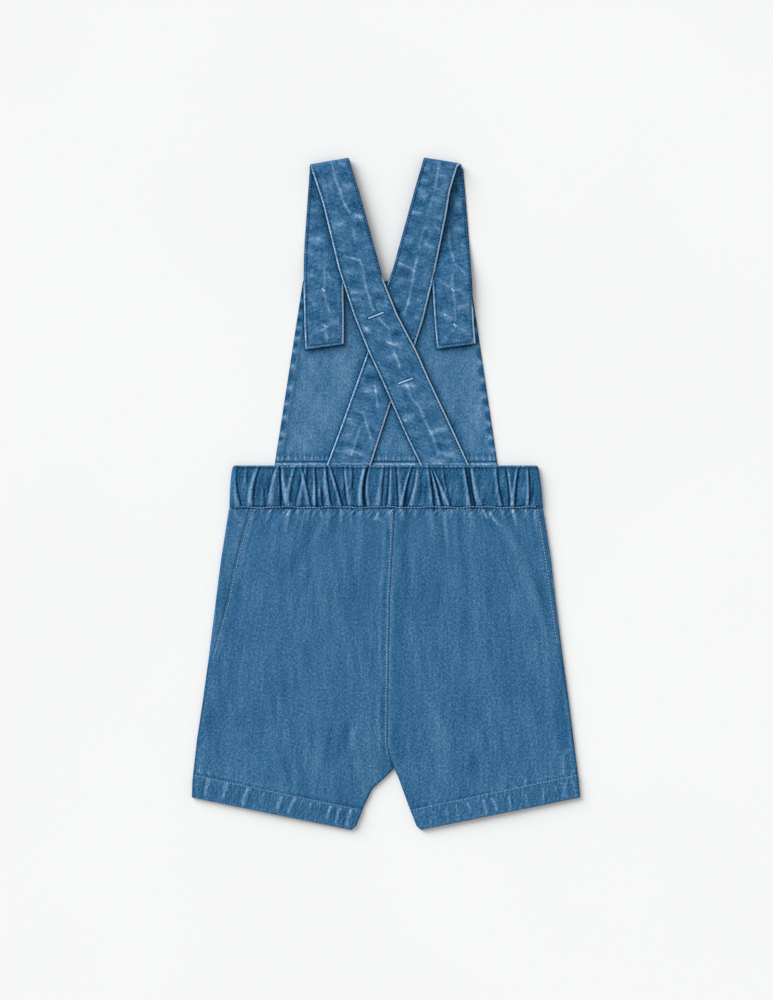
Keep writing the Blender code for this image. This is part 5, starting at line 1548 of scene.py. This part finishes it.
class Nodes:
    """A material's nodes: each call adds one, with its inputs given by name."""

    def __init__(self, name):
        """A new material with its one Principled shader."""
        self.material = bpy.data.materials.new(name)
        self.material.use_nodes = True
        self.tree = self.material.node_tree
        self.shader = self.tree.nodes["Principled BSDF"]

    def add(self, kind, **inputs):
        """A node of a kind, its inputs set to values or linked to sockets."""
        node = self.tree.nodes.new(kind)
        for name, value in inputs.items():
            self.put(node, name.replace("_", " "), value)
        return node

    def put(self, node, name, value):
        """Set one input of a node, found by its name or its number."""
        socket = node.inputs[int(name)] if name.isdigit() else node.inputs[name]
        if isinstance(value, bpy.types.NodeSocket):
            self.tree.links.new(value, socket)
        else:
            socket.default_value = value

    def finish(self, **inputs):
        """Set or link the shader's inputs, and give the material."""
        for name, value in inputs.items():
            self.put(self.shader, name.replace("_", " "), value)
        return self.material

    def maths(self, operation, first, second):
        """The result of one sum on two values."""
        node = self.tree.nodes.new("ShaderNodeMath")
        node.operation = operation
        self.put(node, "0", first)
        self.put(node, "1", second)
        return node.outputs[0]

    def blend(self, start, *parts, middle=0.0):
        """A start plus each part's value less a middle, times the part's amount."""
        total = start
        for value, amount in parts:
            swing = self.maths("SUBTRACT", value, middle) if middle else value
            total = self.maths("ADD", total, self.maths("MULTIPLY", swing, amount))
        return total

    def noise(self, place, stretch, size, detail=2.0, rough=0.5):
        """Noise between 0 and 1 with cells of a size in millimetres, stretched along the warp."""
        mapped = self.add("ShaderNodeMapping", Vector=place, Scale=(1.0, 1.0 / stretch, 1.0))
        noise = self.add("ShaderNodeTexNoise", Vector=mapped.outputs[0], Scale=1.0 / (size * MM))
        self.put(noise, "Detail", detail)
        self.put(noise, "Roughness", rough)
        return noise.outputs["Fac"]

    def ramp(self, factor, stops):
        """A colour for each value, read between stops of a position and a colour."""
        node = self.add("ShaderNodeValToRGB", Fac=factor)
        elements = node.color_ramp.elements
        while len(elements) < len(stops):
            elements.new(0.5)
        for element, (position, colour) in zip(elements, stops):
            element.position = position
            element.color = (*colour, 1.0)
        return node.outputs["Color"]

    def object_place(self):
        """Object coordinates."""
        return self.add("ShaderNodeTexCoord").outputs["Object"]


# The cloth's tone from dark to pale, as set by wear and by painted light and shade.
DENIM_TONES = (
    (0.0, (0.001, 0.018, 0.058)),
    (0.25, (0.007, 0.055, 0.127)),
    (0.5, (0.032, 0.134, 0.275)),
    (0.75, (0.124, 0.250, 0.408)),
    (1.0, (0.420, 0.560, 0.720)),
)
TWILL_PITCH, TWILL_SLANT = 0.85, 27
TWILL, FUZZ = 0.07, 0.68


def denim(name, shift, contrast, slub, grain, blotch_size=26.0, blotching=0.14):
    """Washed twill: wear and painted light and shade set its tone, broken by slubs, blotches and grain, over
    slanted lines.

    The tone is 0.5 plus shift, plus the swing about 0.5 of the wear and painted light and shade
    times contrast, plus each noise's swing about 0.5 times its amount.
    """
    nodes = Nodes(name)
    place = nodes.add("ShaderNodeUVMap").outputs["UV"]
    place.node.uv_map = "weave"
    worn_and_painted_light = nodes.add("ShaderNodeAttribute")
    worn_and_painted_light.attribute_name = "worn_and_painted_light"
    slubs = nodes.noise(place, 18.0, 1.6, 2.0, 0.6)
    cross = nodes.noise(place, 0.2, 2.0, 1.0, 0.5)
    blotch = nodes.noise(place, 1.6 if blotch_size > 15.0 else 0.7, blotch_size, 2.0, 0.5)
    speck = nodes.noise(place, 1.5, 1.8, 1.5, 0.6)
    fuzz = nodes.noise(place, 1.2, 1.2, 2.0, 0.7)
    slant = (0.0, 0.0, math.radians(TWILL_SLANT))
    turned = nodes.add("ShaderNodeMapping", Vector=place, Rotation=slant)
    scale = 0.5 / (TWILL_PITCH * MM * math.pi)
    wave = nodes.add("ShaderNodeTexWave", Vector=turned.outputs[0], Scale=scale, Distortion=1.4, Detail=2.0)
    twill = wave.outputs["Fac"]
    tone = nodes.blend(
        0.5 + shift,
        (worn_and_painted_light.outputs["Fac"], contrast),
        (slubs, slub),
        (cross, 0.5 * slub),
        (blotch, blotching),
        (speck, grain),
        (twill, TWILL),
        (fuzz, FUZZ),
        middle=0.5,
    )
    height = nodes.blend(0.0, (twill, 0.3), (speck, 0.9), (slubs, 0.5))
    bump = nodes.add("ShaderNodeBump", Height=height, Distance=0.3 * MM, Strength=0.8)
    return nodes.finish(
        Base_Color=nodes.ramp(tone, DENIM_TONES),
        Normal=bump.outputs[0],
        Roughness=nodes.blend(0.80, (speck, 0.16)),
        Specular_IOR_Level=0.08,
        Sheen_Weight=0.02,
        Sheen_Roughness=0.5,
    )


def thread(name, colour):
    """Twisted sewing thread: specks and soft patches, a little paler and darker."""
    nodes = Nodes(name)
    place = nodes.object_place()
    speck = nodes.noise(place, 1.0, 0.5, 2.0, 0.6)
    patch = nodes.noise(place, 1.0, 9.0, 1.0, 0.5)
    dark = tuple(0.78 * part for part in colour)
    pale = tuple(min(1.0, 1.2 * part) for part in colour)
    mix = nodes.blend(0.0, (speck, 0.5), (patch, 0.5))
    bump = nodes.add("ShaderNodeBump", Height=speck, Distance=0.1 * MM, Strength=0.6)
    return nodes.finish(
        Base_Color=nodes.ramp(mix, ((0.3, dark), (0.7, pale))),
        Normal=bump.outputs[0],
        Roughness=0.75,
        Specular_IOR_Level=0.1,
    )


def resin(name):
    """Horn-brown button resin: soft streaks, smooth and half glossy."""
    nodes = Nodes(name)
    streak = nodes.noise(nodes.object_place(), 4.0, 5.0, 4.0, 0.6)
    stops = ((0.3, (0.10, 0.055, 0.025)), (0.5, (0.30, 0.19, 0.10)), (0.72, (0.52, 0.40, 0.26)))
    return nodes.finish(Base_Color=nodes.ramp(streak, stops), Roughness=nodes.blend(0.24, (streak, 0.16)))


def paper(name):
    """The plain pale floor, with faint clouds."""
    nodes = Nodes(name)
    cloud = nodes.noise(nodes.object_place(), 1.0, 400.0, 2.0, 0.5)
    stops = ((0.3, (0.88, 0.88, 0.88)), (0.7, (0.90, 0.90, 0.90)))
    return nodes.finish(Base_Color=nodes.ramp(cloud, stops), Roughness=0.9, Specular_IOR_Level=0.0)


DENIM_BODY = denim("denim_body_washed", shift=0.005, contrast=1.0, slub=0.22, grain=0.47)
DENIM_BIB = denim("denim_bib_inside", shift=0.10, contrast=0.95, slub=0.18, grain=0.50)
DENIM_STRAP = denim("denim_strap_washed", 0.01, 1.0, 0.18, 0.46, blotch_size=11.0, blotching=0.26)
DENIM_BAND = denim("denim_band_gathered", shift=-0.07, contrast=1.0, slub=0.16, grain=0.45)
THREAD_PALE = thread("thread_pale_blue", (0.27, 0.42, 0.64))
THREAD_TACK = thread("thread_tack_blue", (0.44, 0.62, 0.92))
THREAD_CLOTH = thread("thread_cloth_blue", (0.085, 0.20, 0.36))
THREAD_BLUE = thread("thread_mid_blue", (0.045, 0.16, 0.32))
# Painted shade: the dark colour of the marks at the needle holes.
HOLE_SHADE_DARK = thread("needle_hole_painted_shade", (0.004, 0.030, 0.085))
RESIN = resin("button_resin_brown")

# ---------------------------------------------------------------- camera, light and floor

FLOOR_HALF, FLOOR_Z = 8.0, -0.0002


def add_camera(scene, lens, place):
    """The camera, straight above and looking down."""
    data = bpy.data.cameras.new("camera")
    data.lens = lens
    data.sensor_width = 36.0
    data.clip_end = 20.0
    camera = bpy.data.objects.new("camera", data)
    camera.location = place
    scene.collection.objects.link(camera)
    scene.camera = camera


def add_daylight(scene, strength, colour):
    """An even, faintly warm light from all round."""
    world = bpy.data.worlds.new("studio")
    world.use_nodes = True
    background = world.node_tree.nodes["Background"]
    background.inputs["Color"].default_value = (*colour, 1.0)
    background.inputs["Strength"].default_value = strength
    scene.world = world


def add_key_light(scene, energy, spread, colour, tilt, heading):
    """A broad soft light from one side, its spread, tilt and heading in degrees."""
    data = bpy.data.lights.new("key_light", "SUN")
    data.energy = energy
    data.angle = math.radians(spread)
    data.color = colour
    lamp = bpy.data.objects.new("key_light", data)
    lamp.rotation_euler = (math.radians(tilt), 0.0, math.radians(heading))
    scene.collection.objects.link(lamp)


def add_floor(scene):
    """A plain square floor just under the cloth."""
    corners = [(x * FLOOR_HALF, y * FLOOR_HALF, FLOOR_Z) for x, y in ((-1, -1), (1, -1), (1, 1), (-1, 1))]
    mesh = bpy.data.meshes.new("floor")
    mesh.from_pydata(corners, [], [(0, 1, 2, 3)])
    mesh.materials.append(paper("floor_paper"))
    floor = bpy.data.objects.new("floor", mesh)
    scene.collection.objects.link(floor)


scene = bpy.context.scene
scene.view_settings.view_transform = "Standard"
scene.view_settings.look = "None"
add_camera(scene, lens=108.0, place=(0.0005, -0.006, 3.0))
add_daylight(scene, strength=0.56, colour=(1.0, 0.99, 0.975))
add_key_light(scene, energy=3.05, spread=46, colour=(0.965, 0.985, 1.0), tilt=59, heading=-132)
add_floor(scene)

# ---------------------------------------------------------------- the garment

# Each kind of seam's stitch length and the gap after it, and the radius of its thread.
PLAIN_SEAM, PLAIN_THREAD = (2.1, 0.9), 0.22
STRAP_STITCH, STRAP_END_STITCH, STRAP_THREAD = (2.2, 0.85), (2.2, 0.8), 0.30


def laid(node, with_pieces=()):
    """Stand a piece of cloth for its solid: the solid is hidden."""
    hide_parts(node)


def dress_back_leg(side):
    """A back leg: topstitched along its hem, its side seam and, on the left, the centre seam."""
    piece, grid, inward, rows = back_leg(side)
    width, seam, curl = (rows[name][:, 0] for name in ("width", "seam", "curl"))

    def seam_on(numbers, distance):
        """The line at a distance in from the side fold, on the rows of some numbers."""
        return line_on(grid, numbers, columns_at(inward[numbers], distance), UP)

    hem_columns = np.linspace(6, grid.shape[1] - 7, 400)
    runs = [sewn(line_on(grid, BACK_ROWS[0] + 1.0, hem_columns, UP), 2.4, 0.5)]
    if side == "left":
        above_crotch = np.flatnonzero(curl < 0.5)[:-2]
        runs.append(sewn(seam_on(above_crotch, width[above_crotch] - 2.0), 2.3, 0.7))
    on_back = np.flatnonzero(seam > 1.2)
    runs.append(sewn(seam_on(on_back, seam[on_back] + 2.4), 2.3, 0.8))
    sewing = [
        add_stitches(f"back_leg_{side}_stitches", runs, 0.38, THREAD_PALE),
        add_hole_shade_marks(f"back_leg_{side}_needle_hole_shade", runs, 0.36, 0.42),
    ]
    laid(f"back_leg_{side}", sewing)


def dress_front_leg(side):
    """A front leg: stitched along its hem, below."""
    piece, grid = front_leg(side)
    hem_columns = np.linspace(grid.shape[1] - 9, 36, 360)
    runs = [sewn(line_on(grid, FRONT_ROWS[0] + 0.6, hem_columns, DOWN), *PLAIN_SEAM)]
    sewing = add_stitches(f"front_leg_{side}_stitches", runs, PLAIN_THREAD, THREAD_PALE)
    laid(f"front_leg_{side}", [sewing])


def dress_waistbands():
    """The back casing, stitched along its rim and its foot, and the front band, stitched below."""
    piece, grid = back_band()
    across = np.linspace(17, grid.shape[1] - 18, 1100)
    foot = line_on(grid, 2.3 + 0.9 * np.sin(across / 13.0) + 0.6 * np.sin(across / 5.3), across, UP)
    top = line_on(grid, 57.0 + 0.5 * np.sin(across / 23.0) + 0.4 * np.sin(across / 9.0), across, UP)
    sewing = [
        add_stitches("waistband_back_top_stitches", [sewn(top, 1.7, 1.9)], 0.42, THREAD_CLOTH),
        add_stitches("waistband_back_foot_stitches", [sewn(foot, 2.6, 0.6)], 0.46, THREAD_PALE),
    ]
    laid("waistband_back", sewing)

    piece, grid = front_band()
    across = np.linspace(3, grid.shape[1] - 4, 500)
    runs = [sewn(line_on(grid, row, across, DOWN), *PLAIN_SEAM) for row in (3.3, 43.7)]
    sewing = add_stitches("waistband_front_stitches", runs, PLAIN_THREAD, THREAD_PALE)
    laid("waistband_front", [sewing])


def buttonhole_rims(grid):
    """Two worked bars below the bib along each buttonhole, facing down."""
    rims = []
    for x, y in BUTTONS:
        for rim_y in (y - BUTTONHOLE_RIM, y + BUTTONHOLE_RIM):
            ends = ((x + reach, rim_y) for reach in (-BUTTONHOLE_LENGTH / 2, BUTTONHOLE_LENGTH / 2))
            first, last, up = bar_tack(grid, *ends, 1.5)
            rims.append((first, last, -up))
    return add_stitches("bib_buttonhole_rims", rims, 0.32, THREAD_BLUE)


def dress_bib():
    """The bib: stitched on both faces along its sides and its top, with its buttonholes' rims.

    Returns its upper grid.
    """
    piece, face, back = bib_cloth()
    down = np.linspace(3, 142.5, 260)
    across = np.linspace(9.0, face.shape[1] - 10.0, 300)
    nearest = np.rint(down).astype(int)
    from_left = face[nearest, :, 0] - face[nearest, :1, 0]
    runs = []
    for grid, outside in ((face, UP), (back, DOWN)):
        for distance in (BIB_SIDE_SEAM, from_left[:, -1] - BIB_SIDE_SEAM):
            runs.append(sewn(line_on(grid, down, columns_at(from_left, distance), outside), *PLAIN_SEAM))
        runs.append(sewn(line_on(grid, 143.2, across, outside), *PLAIN_SEAM))
    sewing = add_stitches("bib_stitches", runs, PLAIN_THREAD, THREAD_CLOTH)
    laid("bib", [sewing, buttonhole_rims(back)])
    return face


def strap_seams(outer, inner):
    """A strap's stitched lines, on both faces: down both edges and across its end."""
    rows = np.linspace(1, len(outer) - 4, 900)
    nearest = np.rint(rows).astype(int)
    from_left = np.linalg.norm(outer[nearest] - outer[nearest, :1], axis=-1)
    runs = []
    for distance in (2.5, from_left[:, -1] - 2.5):
        column = columns_at(from_left, distance)
        for grid, outside in ((outer, UP), (inner, DOWN)):
            runs.append(sewn(line_on(grid, rows, column, outside), *STRAP_STITCH))
    across = np.linspace(6.0, 41.0, 120)
    for grid, outside in ((outer, DOWN), (inner, UP)):
        runs.append(sewn(line_on(grid, len(outer) - 3.6, across, outside), *STRAP_END_STITCH))
    return runs


def strap_tacks(side, outer, inner):
    """The bars that hold the crossing, on the upper strap, and a crossed pair over each button."""
    marks = []
    if side == "left":
        marks.append(bar_tack(outer[:RUN_ROWS], (-17.5, 175.2), (-2.7, 181.0), 1.7))
        marks.append(bar_tack(outer[:RUN_ROWS], (12.5, 110.2), (26.8, 115.4), 1.7))
    lying = inner[RUN_ROWS + FOLD_ROWS:]
    for x, y in BUTTONS:
        if (x < 0) == (side == "left"):
            marks.append(bar_tack(lying, (x - 1.7, y + 0.8), (x + 1.7, y - 0.7), 1.5))
            marks.append(bar_tack(lying, (x - 0.6, y + 1.7), (x + 0.5, y - 1.8), 1.2))
    return add_stitches(f"strap_{side}_tacks", marks, 0.36, THREAD_TACK)


def dress_strap(side, below, covers):
    """A strap with its stitches, painted shade at its needle holes, and its tacks. Returns the height of its
    upper side.
    """
    piece, outer, inner = strap_cloth(side, below, covers)
    runs = strap_seams(outer, inner)
    sewing = [
        add_stitches(f"strap_{side}_stitches", runs, STRAP_THREAD, THREAD_BLUE),
        add_hole_shade_marks(f"strap_{side}_needle_hole_shade", runs, 0.60, 0.76),
        strap_tacks(side, outer, inner),
    ]
    laid(f"strap_{side}", sewing)
    return np.maximum(outer, inner)


for side in ("left", "right"):
    dress_back_leg(side)
    dress_front_leg(side)
dress_waistbands()
bib_top = dress_bib()
right_top = dress_strap("right", [bib_top], [STRAP_RUN["left"]])
dress_strap("left", [bib_top, right_top], [])

for node in [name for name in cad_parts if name.startswith("button")]:
    bpy.data.objects[node].material_slots[0].material = RESIN
